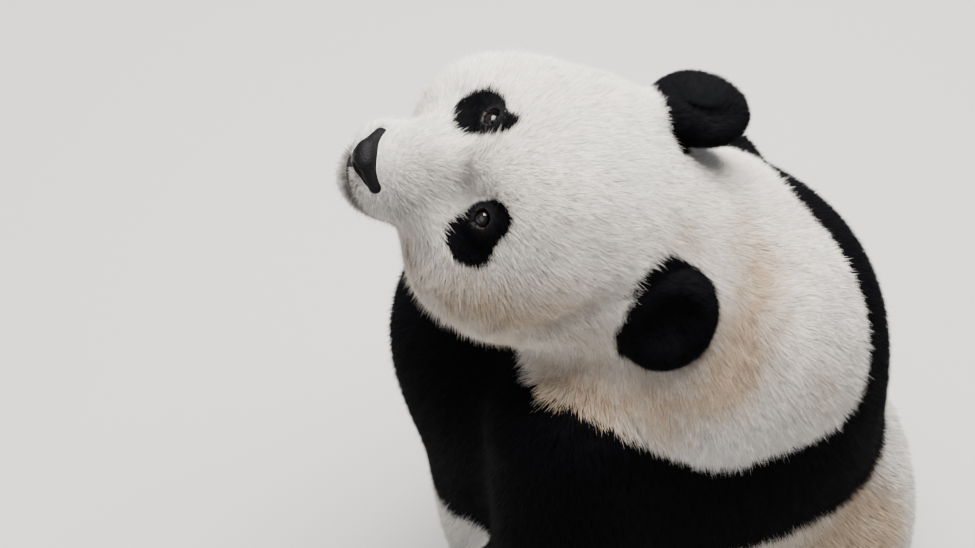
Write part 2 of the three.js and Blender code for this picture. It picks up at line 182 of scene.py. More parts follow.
@dataclass(frozen=True)
class Bone:
    """A tapered rod between two balls.

    Args:
        start: The middle of the first ball.
        end: The middle of the second ball.
        start_radius: The first ball's radius.
        end_radius: The second ball's radius.
        soft: How wide the fillet is where it joins the shapes before it.
    """

    start: Triple
    end: Triple
    start_radius: float
    end_radius: float
    soft: float = 0.04

    def distance(self, points: np.ndarray) -> np.ndarray:
        """Returns how far each point is outside the rod."""
        axis = column(self.end) - column(self.start)
        reach = float(np.sqrt((axis * axis).sum()))
        axis = axis / reach
        lean = (self.start_radius - self.end_radius) / reach
        upright = math.sqrt(1.0 - lean * lean)
        local = points - column(self.start)
        along = dot(local, axis)
        out = np.sqrt(np.maximum((local * local).sum(0) - along * along, 0.0))
        k = along * upright - out * lean
        at_start = np.hypot(along, out) - self.start_radius
        at_end = np.hypot(along - reach, out) - self.end_radius
        side = out * upright + along * lean - self.start_radius
        return np.where(k < 0, at_start, np.where(k > reach * upright, at_end, side))


def flow(shapes: list[Egg | Bone], points: np.ndarray) -> np.ndarray:
    """Returns the distance to shapes that run into each other."""
    total = np.full(points.shape[1], 10.0, np.float32)
    for shape in shapes:
        total = blend(total, shape.distance(points), shape.soft)
    return total


@dataclass(frozen=True)
class Place:
    """Where a frame stands.

    Args:
        turn: Its three directions as columns.
        origin: Its origin as a column.
    """

    turn: np.ndarray
    origin: np.ndarray

    def into(self, points: np.ndarray) -> np.ndarray:
        """Returns points of the outer frame as this frame sees them."""
        return self.turn.T @ (points - self.origin)

    def out_of(self, points: np.ndarray) -> np.ndarray:
        """Returns points of this frame as the outer frame sees them."""
        return self.turn @ points + self.origin

    def facing(self, directions: np.ndarray) -> np.ndarray:
        """Returns directions of this frame as the outer frame sees them."""
        return self.turn @ directions


# ---- The animal --------------------------------------------------------------------------------


class Side(Enum):
    """The animal's own left and right, as the sign of X."""

    LEFT = 1
    RIGHT = -1

    @property
    def word(self) -> str:
        """The side as it stands in the names of pieces."""
        return self.name.lower()


class Region(Enum):
    """The parts of the coat."""

    FACE = 0
    CROWN = 1
    EAR_LEFT = 2
    EAR_RIGHT = 3
    COLLAR_LEFT = 4
    COLLAR_RIGHT = 5
    YOKE = 6
    TRUNK_FRONT = 7
    TRUNK_BACK = 8
    ARM_LEFT = 9
    ARM_RIGHT = 10
    LEG_LEFT = 11
    LEG_RIGHT = 12
    TAIL = 13


@dataclass(frozen=True)
class Head:
    """The head: its pose, skull, eyes, ears, nose and mouth, in its own frame."""

    joint: Triple = (0.064, -0.169, 0.758)
    turn: float = 30.2
    lift: float = 32.5
    tilt: float = 27.0
    eye: Triple = (0.055, -0.154, 0.063)
    eye_radius: float = 0.012
    orbit: Triple = (0.058, -0.204, 0.064)
    orbit_radius: float = 0.036
    ear_root: Triple = (0.105, 0.029, 0.089)
    ear_lift: float = 0.016
    ear_rise: float = 0.051
    ear_size: Triple = (0.064, 0.031, 0.055)
    ear_back: float = 67.0
    ear_out: float = 42.0
    cheeks: tuple[Triple, Triple] = ((0.084, -0.082, 0.094), (0.091, -0.090, 0.100))
    nose: Triple = (0.0, -0.273, -0.001)
    mouth_front: float = -0.230
    mouth_height: float = -0.040
    mouth_slope: float = 0.1
    mouth_corner: float = -0.155

    @property
    def place(self) -> Place:
        """Where the head's frame stands in the body's."""
        turn = turning(2, self.turn) @ turning(0, -self.lift) @ turning(1, self.tilt)
        return Place(turn, column(self.joint))

    def mirrored(self, point: Triple, side: Side) -> np.ndarray:
        """Returns a point given for the left side as a column for either side."""
        return column((point[0] * side.value, point[1], point[2]))

    def skull(self, points: np.ndarray) -> np.ndarray:
        """Returns the distance to the head without its ears."""
        shapes: list[Egg | Bone] = [
            Egg((0, -0.045, 0.058), (0.116, 0.120, 0.098), 0.06),
            Egg((0, -0.092, 0.076), (0.090, 0.078, 0.062), 0.05),
        ]
        for s, (out, back, long) in zip((1, -1), self.cheeks):
            shapes += [
                Egg((s * out, back, -0.012), (0.076, long, 0.092), 0.06, s * 8.0),
                Egg((s * 0.056, -0.028, 0.006), (0.080, 0.086, 0.092), 0.06),
                Egg((s * 0.044, -0.126, 0.066), (0.034, 0.034, 0.026), 0.03),
            ]
        shapes += [
            Egg((-0.088, -0.004, 0.062), (0.046, 0.060, 0.050), 0.05),
            Egg((0, -0.082, -0.052), (0.104, 0.104, 0.062), 0.07),
            Bone((0, -0.150, 0.008), (0, -0.226, -0.012), 0.072, 0.055, 0.046),
        ]
        shapes += [Egg((s * 0.020, -0.244, -0.020), (0.033, 0.032, 0.025), 0.018) for s in (1, -1)]
        shapes += [Egg((0, -0.228, -0.054), (0.041, 0.048, 0.028), 0.026)]
        folded = np.vstack([np.abs(points[:1]), points[1:]]) - column(self.orbit)
        hollow = span(folded) - self.orbit_radius
        return carve(flow(shapes, points), hollow, 0.026)

    def ear_place(self, side: Side) -> Place:
        """Returns where an ear's frame stands in the head's: Z to its tip and -Y to its cup."""
        turn = turning(1, side.value * self.ear_out) @ turning(0, -self.ear_back)
        x, y, z = self.ear_root
        return Place(turn, column((side.value * x, y, z - side.value * self.ear_lift)))

    def ear(self, points: np.ndarray, side: Side) -> np.ndarray:
        """Returns the distance to one ear, from points in the head's frame."""
        local = self.ear_place(side).into(points)
        rise = self.ear_rise
        shell = flow(
            [
                Egg((0, 0, rise), self.ear_size, 0.02),
                Bone((0, 0.004, -0.004), (0, 0.002, rise - 0.012), 0.032, 0.038, 0.024),
            ],
            local,
        )
        cup = Egg((0, -0.038, rise + 0.002), (0.035, 0.022, 0.033))
        return carve(shell, cup.distance(local), 0.014)

    def eye_frame(self, side: Side) -> Place:
        """Returns an eye's own frame: X along the slit to its outer corner, Z ahead out of the eye."""
        ahead = unit(column((side.value * 0.28, -0.72, 0.64)))
        slit = unit(column((side.value * 0.80, 0.42, -0.42)))
        slit = unit(slit - ahead * dot(slit, ahead))
        across = np.cross(ahead[:, 0], slit[:, 0]).reshape(3, 1)
        return Place(np.hstack([slit, across, ahead]).astype(np.float32), self.mirrored(self.eye, side))

    def slit(self, local: np.ndarray) -> np.ndarray:
        """Returns the distance to the opening between the lids, from points in the eye's frame."""
        return Egg((0.0, 0.0, self.eye_radius), (0.0107, 0.0105, 0.0110)).distance(local)

    def lids(self, skin: np.ndarray, points: np.ndarray, side: Side) -> np.ndarray:
        """Adds an eye's lids to the skin and opens its socket.

        Args:
            skin: The distances so far.
            points: The points in the head's frame.
            side: Which eye.
        """
        local = self.eye_frame(side).into(points)
        reach = span(local)
        closed = blend(skin, reach - self.eye_radius - 0.0018, 0.012)
        opened = carve(closed, self.slit(local), 0.0012)
        return carve(opened, reach - self.eye_radius - 0.0003, 0.0004)

    def mouth_gap(self, points: np.ndarray, skin: np.ndarray) -> np.ndarray:
        """Returns the distance to the slot between the lips, as deep as the skin there allows."""
        ahead = points - column((0.0, self.mouth_front, self.mouth_height))
        level = (ahead[2] + self.mouth_slope * ahead[1]) / math.hypot(1.0, self.mouth_slope)
        return np.maximum(np.maximum(np.abs(level) - 0.0016, points[1] - self.mouth_corner), -skin - 0.010)

    def lip_gap(self, points: np.ndarray) -> np.ndarray:
        """Returns the distance to the slot between the lips, however thick the skin is."""
        return self.mouth_gap(points, np.full(points.shape[1], 0.05))

    def lip_front(self, points: np.ndarray) -> np.ndarray:
        """Returns 1 at the front of the lips and 0 along the cheeks."""
        return smooth_step(-0.222, -0.245, points[1])

    def eye_gap(self, points: np.ndarray) -> np.ndarray:
        """Returns the distance to the middle of the nearer eye."""
        return np.min([span(points - self.mirrored(self.eye, side)) for side in Side], axis=0)


@dataclass(frozen=True)
class Paw:
    """A paw: the way it points, its upper side and its length, for the left side."""

    along: Triple
    up: Triple
    length: float
    toe_spread: float = 0.0235
    claw_length: float = 0.034
    claw_root: float = 0.0054
    claw_bend: float = 50.0

    def place(self, heel: Triple, side: Side) -> Place:
        """Returns the paw's frame: X across, Y from heel to toes and Z to its upper side."""
        y = unit(column((side.value * self.along[0], self.along[1], self.along[2])))
        x = unit(np.cross(y[:, 0], np.asarray(self.up)).reshape(3, 1))
        z = np.cross(x[:, 0], y[:, 0]).reshape(3, 1)
        return Place(np.hstack([x, y, z]).astype(np.float32), column(heel))

    def toe_reach(self, digit: int) -> float:
        """Returns how far a toe, from -2 to 2, reaches from the heel."""
        return self.length + 0.014 - 0.004 * digit * digit

    def shapes(self, radius: float) -> list[Egg | Bone]:
        """Returns heel, palm and toes in the paw's own frame."""
        palm = self.length * 0.6
        made: list[Egg | Bone] = [
            Bone((0, 0, 0), (0, palm, -0.002), radius, radius * 0.84, 0.04),
            Bone((-radius * 0.5, palm, -0.004), (radius * 0.5, palm, -0.004), radius * 0.66, radius * 0.66, 0.034),
        ]
        for digit in range(-2, 3):
            reach = self.toe_reach(digit)
            root = (digit * 0.020, reach - 0.036, 0.0)
            made.append(Bone(root, (digit * 0.023, reach, -0.008), 0.022, 0.018, 0.012))
        return made

    def pads(self) -> list[Egg]:
        """Returns the bare pads of the sole in the paw's own frame: one wide pad and five small ones."""
        wide = Egg((0, self.length * 0.62, -0.036), (0.040, 0.017, 0.011), 0.01)
        heel = Egg((0, self.length * 0.16, -0.046), (0.017, 0.020, 0.010), 0.01)
        return [wide, heel] + [
            Egg((d * 0.0225, self.toe_reach(d) - 0.004, -0.021), (0.0088, 0.0125, 0.0075), 0.006) for d in range(-2, 3)
        ]

    def pad_gap(self, points: np.ndarray) -> np.ndarray:
        """Returns the distance to the nearest bare pad, from points in the paw's own frame."""
        return np.min([pad.distance(points) for pad in self.pads()], axis=0)


@dataclass(frozen=True)
class Limb:
    """A leg or foreleg: three joints with their radii, for the left side, and a paw."""

    root: Triple
    middle: Triple
    end: Triple
    radii: Triple
    paw: Paw

    def joints(self, side: Side) -> list[Triple]:
        """Returns the three joints on one side."""
        return [(side.value * p[0], p[1], p[2]) for p in (self.root, self.middle, self.end)]

    def paw_place(self, side: Side) -> Place:
        """Returns the frame of the limb's paw."""
        return self.paw.place(self.joints(side)[2], side)

    def distance(self, points: np.ndarray, side: Side) -> np.ndarray:
        """Returns the distance to the limb on one side."""
        root, middle, end = self.joints(side)
        bones = [
            Bone(root, middle, self.radii[0], self.radii[1], 0.06),
            Bone(middle, end, self.radii[1] * 0.98, self.radii[2], 0.06),
        ]
        total = flow(bones, points)
        near = self.paw_place(side).into(points)
        for shape in self.paw.shapes(self.radii[2] * 0.9):
            total = blend(total, shape.distance(near), shape.soft)
        return total


ARM = Limb(
    root=(0.180, -0.115, 0.545),
    middle=(0.262, -0.095, 0.335),
    end=(0.270, -0.236, 0.234),
    radii=(0.108, 0.086, 0.058),
    paw=Paw(along=(-0.14, -0.89, -0.42), up=(0.0, -0.42, 0.89), length=0.086),
)
LEG = Limb(
    root=(0.195, -0.010, 0.160),
    middle=(0.335, -0.170, 0.092),
    end=(0.282, -0.350, 0.060),
    radii=(0.128, 0.095, 0.064),
    paw=Paw(along=(0.1, -0.45, 0.89), up=(0.0, 0.89, 0.45), length=0.104),
)
HEAD = Head()


@dataclass(frozen=True)
class Flesh:
    """The whole body out to the tips of the coat, and how deep the coat is on it."""

    trunk_shapes: tuple[Egg | Bone, ...] = (
        Egg((0, -0.066, 0.245), (0.258, 0.284, 0.240), 0.09),
        Egg((0, 0.006, 0.190), (0.262, 0.219, 0.196), 0.09),
        Egg((0, -0.130, 0.462), (0.226, 0.276, 0.210), 0.11),
        Egg((-0.008, -0.004, 0.508), (0.214, 0.184, 0.200), 0.09),
        Bone((0.008, -0.074, 0.590), (0.048, -0.130, 0.735), 0.172, 0.116, 0.08),
        Bone((0.020, -0.020, 0.570), (0.048, -0.090, 0.705), 0.150, 0.112, 0.08),
    )
    tail: Bone = Bone((0, 0.180, 0.100), (0, 0.236, 0.034), 0.048, 0.037, 0.04)
    folds: tuple[Bone, ...] = (
        Bone((0.236, -0.189, 0.716), (0.244, -0.159, 0.753), 0.020, 0.022, 0.01),
        Bone((0.244, -0.159, 0.753), (0.212, -0.100, 0.778), 0.022, 0.021, 0.01),
        Bone((0.212, -0.100, 0.778), (0.194, -0.077, 0.788), 0.021, 0.018, 0.01),
        Bone((-0.020, -0.051, 0.830), (-0.061, -0.041, 0.787), 0.012, 0.010, 0.01),
    )
    limb_inset: float = 0.008
    paw_rest: float = 0.005
    reach: float = 0.030

    def parts(self, points: np.ndarray) -> dict[str, np.ndarray]:
        """Returns the distance to each part of the body, from points in the body's frame."""
        on_head = HEAD.place.into(points)
        found = {"trunk": flow(list(self.trunk_shapes), points), "head": HEAD.skull(on_head)}
        for side in Side:
            leg = LEG.distance(points, side)
            found["leg_" + side.word] = leg
            found["arm_" + side.word] = carve(ARM.distance(points, side), leg - self.paw_rest, 0.010)
            found["ear_" + side.word] = HEAD.ear(on_head, side)
        found["tail"] = self.tail.distance(points)
        return found

    def whole(self, found: dict[str, np.ndarray]) -> np.ndarray:
        """Joins the parts into one body."""
        body = found["trunk"]
        for side in Side:
            body = blend(body, found["leg_" + side.word] + self.limb_inset, 0.08)
            body = blend(body, found["arm_" + side.word] + self.limb_inset, 0.06)
        body = blend(body, found["head"], 0.06)
        for side in Side:
            for part in ("leg_", "arm_", "ear_"):
                body = blend(body, found[part + side.word], 0.010)
        return blend(body, found["tail"], 0.02)

    def depth(self, points: np.ndarray, found: dict[str, np.ndarray]) -> np.ndarray:
        """Returns how far the coat's tips stand off the skin.

        Args:
            points: Points in the body's frame.
            found: What parts() returned for them.
        """
        q = HEAD.place.into(points)
        face = smooth_step(-0.06, -0.19, q[1])
        cheek = smooth_step(0.06, 0.11, np.abs(q[0])) * smooth_step(0.04, -0.02, q[2]) * smooth_step(-0.17, -0.10, q[1])
        deep = {"head": 0.011 - 0.0035 * face + 0.008 * cheek, "trunk": 0.016, "tail": 0.011}
        for side in Side:
            ear = HEAD.ear_place(side).into(q)
            cup = smooth_step(0.010, -0.010, ear[1]) * smooth_step(0.046, 0.026, np.hypot(ear[0], ear[2] - HEAD.ear_rise))
            deep["ear_" + side.word] = 0.0065 + 0.004 * cup
            for name, limb in (("arm_", ARM), ("leg_", LEG)):
                toe = limb.paw_place(side).into(points)[1]
                deep[name + side.word] = 0.013 - 0.008 * smooth_step(-0.03, 0.05, toe)
        weights = {name: np.exp(-np.clip(found[name], -0.02, 0.2) / 0.014) for name in deep}
        total = sum(weights[name] * deep[name] for name in deep) / sum(weights.values())
        for side in Side:
            near = span(q - HEAD.mirrored(HEAD.eye, side))
            total = 0.0012 + (total - 0.0012) * smooth_step(0.012, 0.034, near)
        pad = np.sqrt((((q - column(HEAD.nose)) / column((0.042, 0.024, 0.026))) ** 2).sum(0))
        total = 0.0065 + (total - 0.0065) * smooth_step(0.85, 1.6, pad)
        return total.astype(np.float32)

    def skin(self, points: np.ndarray) -> np.ndarray:
        """Returns the distance to the skin, with its lids, lips and pads."""
        found = self.parts(points)
        total = self.whole(found) + self.depth(points, found)
        close = np.flatnonzero(points[2] > 0.66)
        if close.size:
            total[close] = carve(total[close], flow(list(self.folds), points[:, close]), 0.016)
        near = np.flatnonzero(found["head"] < 0.03)
        if near.size:
            q = HEAD.place.into(points[:, near])
            skin = total[near]
            skin = carve(skin, HEAD.mouth_gap(q, skin), 0.004)
            for side in Side:
                skin = HEAD.lids(skin, q, side)
            total[near] = skin
        for side in Side:
            for limb in (ARM, LEG):
                toe = limb.paw_place(side).into(points)
                close = np.flatnonzero((np.abs(toe) < 0.16).all(0))
                if close.size:
                    joined = total[close]
                    for pad in limb.paw.pads():
                        joined = blend(joined, pad.distance(toe[:, close]), 0.006)
                    total[close] = joined
        return np.maximum(total, 0.0005 - points[2])

    def slope(self, points: np.ndarray, step: float = 0.0006) -> tuple[np.ndarray, np.ndarray]:
        """Returns the skin's distance and its uphill slope at each point."""
        here = self.skin(points)
        ahead = [self.skin(points + column(tuple(step * (axis == i) for i in range(3)))) for axis in range(3)]
        return here, np.vstack([(there - here) / step for there in ahead])

    def settle(self, points: np.ndarray, furthest: float, turns: int = 2) -> np.ndarray:
        """Moves points onto the skin along its slope.

        Args:
            points: Points near the skin.
            furthest: The most that one turn moves a point.
            turns: How many times they are moved.
        """
        for _ in range(turns):
            here, slope = self.slope(points)
            steep = np.maximum((slope * slope).sum(0), 0.05)
            move = slope * (here / steep)
            size = span(move)
            points = points - move * np.minimum(1.0, furthest / np.maximum(size, 1e-9))
        return points.astype(np.float32)


FLESH = Flesh()


# ---- Markings ----------------------------------------------------------------------------------


@dataclass(frozen=True)
class Markings:
    """Where the coat is black. Every measure is a distance that is negative in the black."""

    patches: tuple[tuple[Egg, Egg], ...] = (
        (
            Egg((0.065, -0.160, 0.066), (0.025, 0.090, 0.043), 0.01, -10.0),
            Egg((0.087, -0.160, 0.050), (0.023, 0.090, 0.025), 0.014),
        ),
        (
            Egg((-0.068, -0.160, 0.055), (0.029, 0.090, 0.033), 0.01),
            Egg((-0.046, -0.160, 0.093), (0.015, 0.090, 0.021), 0.020),
        ),
    )
    ear_edges: tuple[tuple[float, float, float], ...] = ((0.012, -0.004, 6.4), (0.004, -0.006, 8.0))
    ear_rim: float = 0.004
    ear_inner: float = 2.4
    yoke_middle: Triple = (0.020, -0.080, 0.0)
    yoke_top: tuple[float, ...] = (
        0.628, 0.008, -0.037, -0.015, 0.036, 0.006, -0.021, -0.007, 0.002, 0.007, 0.004, -0.004, 0.002, 0.004, -0.003,
    )
    yoke_low: tuple[float, ...] = (0.342, -0.060, 0.015, -0.038, -0.009, -0.008, 0.005, 0.0, -0.008)
    ragged: float = 0.004

    def head_black(self, q: np.ndarray) -> np.ndarray:
        """Returns the distance to the eye patches, from points in the head's frame."""
        return np.minimum(*(flow(list(patch), q) for patch in self.patches))

    def yoke_edges(self, points: np.ndarray) -> tuple[np.ndarray, np.ndarray]:
        """Returns the heights of the black yoke's upper and lower edge around the body.

        Each edge is a mean height and then waves: the front-to-back and the side-to-side swing of the
        edge, once, twice and more times around.
        """
        angle = np.arctan2(points[0] - self.yoke_middle[0], self.yoke_middle[1] - points[1])
        edges = []
        for waves in (self.yoke_top, self.yoke_low):
            height = np.full(points.shape[1], waves[0])
            for n in range(1, len(waves)):
                turns = (n + 1) // 2
                height += waves[n] * (np.cos(turns * angle) if n % 2 else np.sin(turns * angle))
            edges.append(height)
        return edges[0], edges[1]

    def black(self, points: np.ndarray, found: dict[str, np.ndarray]) -> np.ndarray:
        """Returns the distance to the black of the coat, with ragged edges."""
        q = HEAD.place.into(points)
        top, low = self.yoke_edges(points)
        total = np.maximum(points[2] - top, low - points[2])
        body = np.minimum(found["trunk"], found["head"])
        for side in Side:
            arm = found["arm_" + side.word]
            total = np.minimum(total, np.maximum(arm - body + 0.012, points[2] - top))
            total = np.minimum(total, found["leg_" + side.word] - body + 0.020)
        total = np.maximum(total, found["trunk"] - found["head"] - 0.03)
        total = np.minimum(total, self.head_black(q) + 0.3 * np.maximum(found["head"] - 0.02, 0.0))
        for side, (foot, rise, spread) in zip(Side, self.ear_edges):
            local = HEAD.ear_place(side).into(q)
            base = rise + np.where(local[0] > 0, spread, self.ear_inner) * local[0] ** 2 - local[2]
            near = self.ear_rim + foot * smooth_step(0.045, 0.020, local[2])
            total = np.minimum(total, np.maximum(found["ear_" + side.word] - near, base))
        lumps = noise(points, 0.018, 11) + 0.6 * noise(points, 0.007, 12)
        fine = np.where(found["head"] < found["trunk"], 0.35, 0.8)
        return total + self.ragged * fine * lumps


MARKINGS = Markings()


# ---- Meshes ------------------------------------------------------------------------------------


@dataclass
class Surface:
    """A mesh in the making: four-sided faces, and a few many-sided ones between fine and coarse.

    Args:
        points: One row per point.
        quads: Four point numbers per face.
        rims: The many-sided faces.
    """

    points: np.ndarray
    quads: np.ndarray
    rims: list[list[int]] = field(default_factory=list)

    @staticmethod
    def of(distance, low: Triple, high: Triple, cell: float) -> "Surface":
        """Draws the surface where a distance is zero.

        Each cell of a grid that the surface passes gets one point, and each grid edge that it crosses
        gets the face between the four cells around that edge. The distance is only worked out in the
        blocks of the grid that the surface can pass.

        Args:
            distance: The function to draw, from points to distances.
            low: The lowest corner of the room.
            high: The highest corner of the room.
            cell: The size of a grid cell.
        """
        start, block = np.asarray(low), 4
        blocks = np.ceil((np.asarray(high) - start) / (cell * block)).astype(int)
        counts = blocks * block
        corners = np.indices(tuple(blocks)).reshape(3, -1) * block
        centres = column(tuple(start)) + (corners + (block - 1) / 2) * cell
        rough = distance(centres.astype(np.float32))
        near = np.abs(rough) < cell * block * 1.5
        values = np.repeat(np.repeat(np.repeat(rough.reshape(tuple(blocks)), block, 0), block, 1), block, 2)
        offsets = np.indices((block,) * 3).reshape(3, 1, -1)
        at = (corners[:, near][:, :, None] + offsets).reshape(3, -1)
        values[at[0], at[1], at[2]] = distance((column(tuple(start)) + at * cell).astype(np.float32))
        inside = values < 0
        x, y, z = (int(n) - 1 for n in counts)
        pieces = [inside[i : x + i, j : y + j, k : z + k] for i, j, k in np.ndindex(2, 2, 2)]
        number = sum(piece.astype(np.int8) for piece in pieces)
        cells = np.argwhere((number > 0) & (number < 8))
        order = np.full(tuple(counts), -1, np.int64)
        order[tuple(cells.T)] = np.arange(len(cells))
        total, crossings = np.zeros((len(cells), 3)), np.zeros(len(cells))
        for axis in range(3):
            for a, b in np.ndindex(2, 2):
                base = cells.copy()
                base[:, (axis + 1) % 3] += a
                base[:, (axis + 2) % 3] += b
                ahead = base.copy()
                ahead[:, axis] += 1
                u, v = values[tuple(base.T)], values[tuple(ahead.T)]
                crossed = (u < 0) != (v < 0)
                spot = base.astype(float)
                spot[:, axis] += np.where(crossed, u / np.where(crossed, u - v, 1.0), 0.0)
                total[crossed] += spot[crossed]
                crossings += crossed
        points = start + total / crossings[:, None] * cell
        quads = []
        for axis in range(3):
            shifted = np.roll(inside, -1, axis)
            for flipped in (False, True):
                changed = (inside & ~shifted) if not flipped else (~inside & shifted)
                edges = np.argwhere(changed)
                edges = edges[(edges > 0).all(1) & (edges < counts - 1).all(1)]
                ring = []
                for a, b in ((0, 0), (-1, 0), (-1, -1), (0, -1)):
                    spot = edges.copy()
                    spot[:, (axis + 1) % 3] += a
                    spot[:, (axis + 2) % 3] += b
                    ring.append(order[tuple(spot.T)])
                quads.append(np.stack(ring[::-1] if flipped else ring, 1))
        quads = np.concatenate(quads)
        return Surface(points.astype(np.float32), quads[(quads >= 0).all(1)])

    def refined(self, chosen: np.ndarray) -> tuple["Surface", np.ndarray]:
        """Splits the chosen four-sided faces in four.

        Args:
            chosen: One truth value per four-sided face.

        Returns:
            The new surface, and the numbers of its new points.
        """
        quads = self.quads[chosen]
        pairs = np.stack([quads, np.roll(quads, -1, 1)], 2)
        keys = np.sort(pairs.reshape(-1, 2), 1)
        span = len(self.points)
        codes, place = np.unique(keys[:, 0] * span + keys[:, 1], return_inverse=True)
        halves = self.points[codes // span] * 0.5 + self.points[codes % span] * 0.5
        middles = self.points[quads].mean(1)
        mid = span + place.reshape(-1, 4)
        hub = span + len(codes) + np.arange(len(quads))
        small = [np.stack([quads[:, i], mid[:, i], hub, mid[:, i - 1]], 1) for i in range(4)]
        rest = self.quads[~chosen]
        edges = np.stack([rest, np.roll(rest, -1, 1)], 2)
        edge_codes = edges.min(2) * span + edges.max(2)
        found = np.searchsorted(codes, edge_codes)
        touched = codes[np.minimum(found, len(codes) - 1)] == edge_codes
        rims = [list(rim) for rim in self.rims]
        for face, cut, where in zip(*(a[touched.any(1)].tolist() for a in (rest, touched, found))):
            rims.append([n for i in range(4) for n in ([face[i], span + where[i]] if cut[i] else [face[i]])])
        points = np.concatenate([self.points, halves, middles]).astype(np.float32)
        kept = np.concatenate([rest[~touched.any(1)], *small])
        return Surface(points, kept, rims), np.arange(span, len(points))

    def middles(self) -> np.ndarray:
        """Returns the middle of each four-sided face, as rows of x, y and z."""
        return self.points[self.quads].mean(1).T

    def mesh(self, name: str) -> bpy.types.Object:
        """Makes the Blender object."""
        sizes = np.concatenate([np.full(len(self.quads), 4), [len(rim) for rim in self.rims]]).astype(np.int32)
        corners = np.concatenate([self.quads.ravel(), np.asarray([n for rim in self.rims for n in rim], int)])
        made = mesh_from(name, self.points, corners, sizes)
        made.data.shade_smooth()
        return made


def mesh_from(name: str, points: np.ndarray, corners: np.ndarray, sizes: np.ndarray) -> bpy.types.Object:
    """Makes a Blender object from arrays.

    Args:
        name: The piece's name.
        points: One row per point.
        corners: The point numbers of all faces, one face after another.
        sizes: How many corners each face has.
    """
    data = bpy.data.meshes.new(name)
    data.vertices.add(len(points))
    data.vertices.foreach_set("co", points.astype(np.float32).ravel())
    data.loops.add(len(corners))
    data.loops.foreach_set("vertex_index", corners.astype(np.int32))
    data.polygons.add(len(sizes))
    starts = np.concatenate([[0], np.cumsum(sizes)[:-1]]).astype(np.int32)
    data.polygons.foreach_set("loop_start", starts)
    data.update(calc_edges=True)
    data.validate()
    made = bpy.data.objects.new(name, data)
    bpy.context.scene.collection.objects.link(made)
    return made


def paint(piece: bpy.types.Object, colours: np.ndarray) -> None:
    """Gives each point of a piece its own colour, as the attribute "tint"."""
    layer = piece.data.color_attributes.new("tint", "FLOAT_COLOR", "POINT")
    layer.data.foreach_set("color", np.hstack([colours, np.ones((len(colours), 1))]).astype(np.float32).ravel())


# ---- Finishes ----------------------------------------------------------------------------------


@dataclass(frozen=True)
class Finish:
    """A surface's look.

    Args:
        slot: The material slot of the record.
        colour: The base colour, where the piece has none of its own.
        roughness: How dull it is.
        specular: How strongly it shines at right angles.
        sheen: How strong its soft rim light is.
        coat: How strong its clear top layer is.
        grain: The size of its small bumps, or 0 for none.
        relief: The height of its small bumps.
        tinted: Whether the colour comes from the piece's own "tint".
    """

    slot: str
    colour: Triple
    roughness: float
    specular: float = 0.5
    sheen: float = 0.0
    coat: float = 0.0
    grain: float = 0.0
    relief: float = 0.0
    tinted: bool = False

    def material(self, name: str) -> bpy.types.Material:
        """Makes the material."""
        made = bpy.data.materials.new(name)
        made.use_nodes = True
        nodes, links = made.node_tree.nodes, made.node_tree.links
        shader = nodes["Principled BSDF"]
        shader.inputs["Base Color"].default_value = (*self.colour, 1.0)
        shader.inputs["Roughness"].default_value = self.roughness
        shader.inputs["Specular IOR Level"].default_value = self.specular
        shader.inputs["Sheen Weight"].default_value = self.sheen
        shader.inputs["Coat Weight"].default_value = self.coat
        shader.inputs["Coat Roughness"].default_value = 0.03
        if self.tinted:
            tint = nodes.new("ShaderNodeVertexColor")
            tint.layer_name = "tint"
            links.new(tint.outputs["Color"], shader.inputs["Base Color"])
        if self.grain:
            place = nodes.new("ShaderNodeTexCoord")
            lumps = nodes.new("ShaderNodeTexNoise")
            lumps.inputs["Scale"].default_value = 1.0 / self.grain
            lumps.inputs["Detail"].default_value = 4.0
            bump = nodes.new("ShaderNodeBump")
            bump.inputs["Distance"].default_value = self.relief
            links.new(place.outputs["Object"], lumps.inputs["Vector"])
            links.new(lumps.outputs["Fac"], bump.inputs["Height"])
            links.new(bump.outputs["Normal"], shader.inputs["Normal"])
        return made

    def dress(self, piece: bpy.types.Object, nodes: tuple[str, ...] = ()) -> None:
        """Gives a piece this finish and its place in the frame.

        Args:
            piece: The piece.
            nodes: The solids that it stands for.
        """
        known = bpy.data.materials.get(self.slot + "_finish")
        piece.data.materials.clear()
        piece.data.materials.append(known or self.material(self.slot + "_finish"))
        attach(piece, "root")
        if nodes:
            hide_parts(*nodes)


WHITE_FUR = Finish("white_coat", (0.84, 0.80, 0.73), 0.75, specular=0.20, tinted=True)
BLACK_FUR = Finish("black_coat", (0.003, 0.003, 0.004), 0.70, specular=0.06, tinted=True)
SKIN = Finish("skin", (0.5, 0.45, 0.38), 0.75, specular=0.25, grain=0.004, relief=0.0012, tinted=True)
NOSE_SKIN = Finish("nose_skin", (0.005, 0.0045, 0.005), 0.36, specular=0.08, coat=0.0, grain=0.0016, relief=0.0009)
EYE_GLOSS = Finish("eye", (0.03, 0.012, 0.006), 0.06, specular=0.35, coat=0.35, tinted=True)
CLAW_HORN = Finish("claw", (0.09, 0.075, 0.06), 0.40, specular=0.5, grain=0.006, relief=0.0003)


# ---- The skin ----------------------------------------------------------------------------------


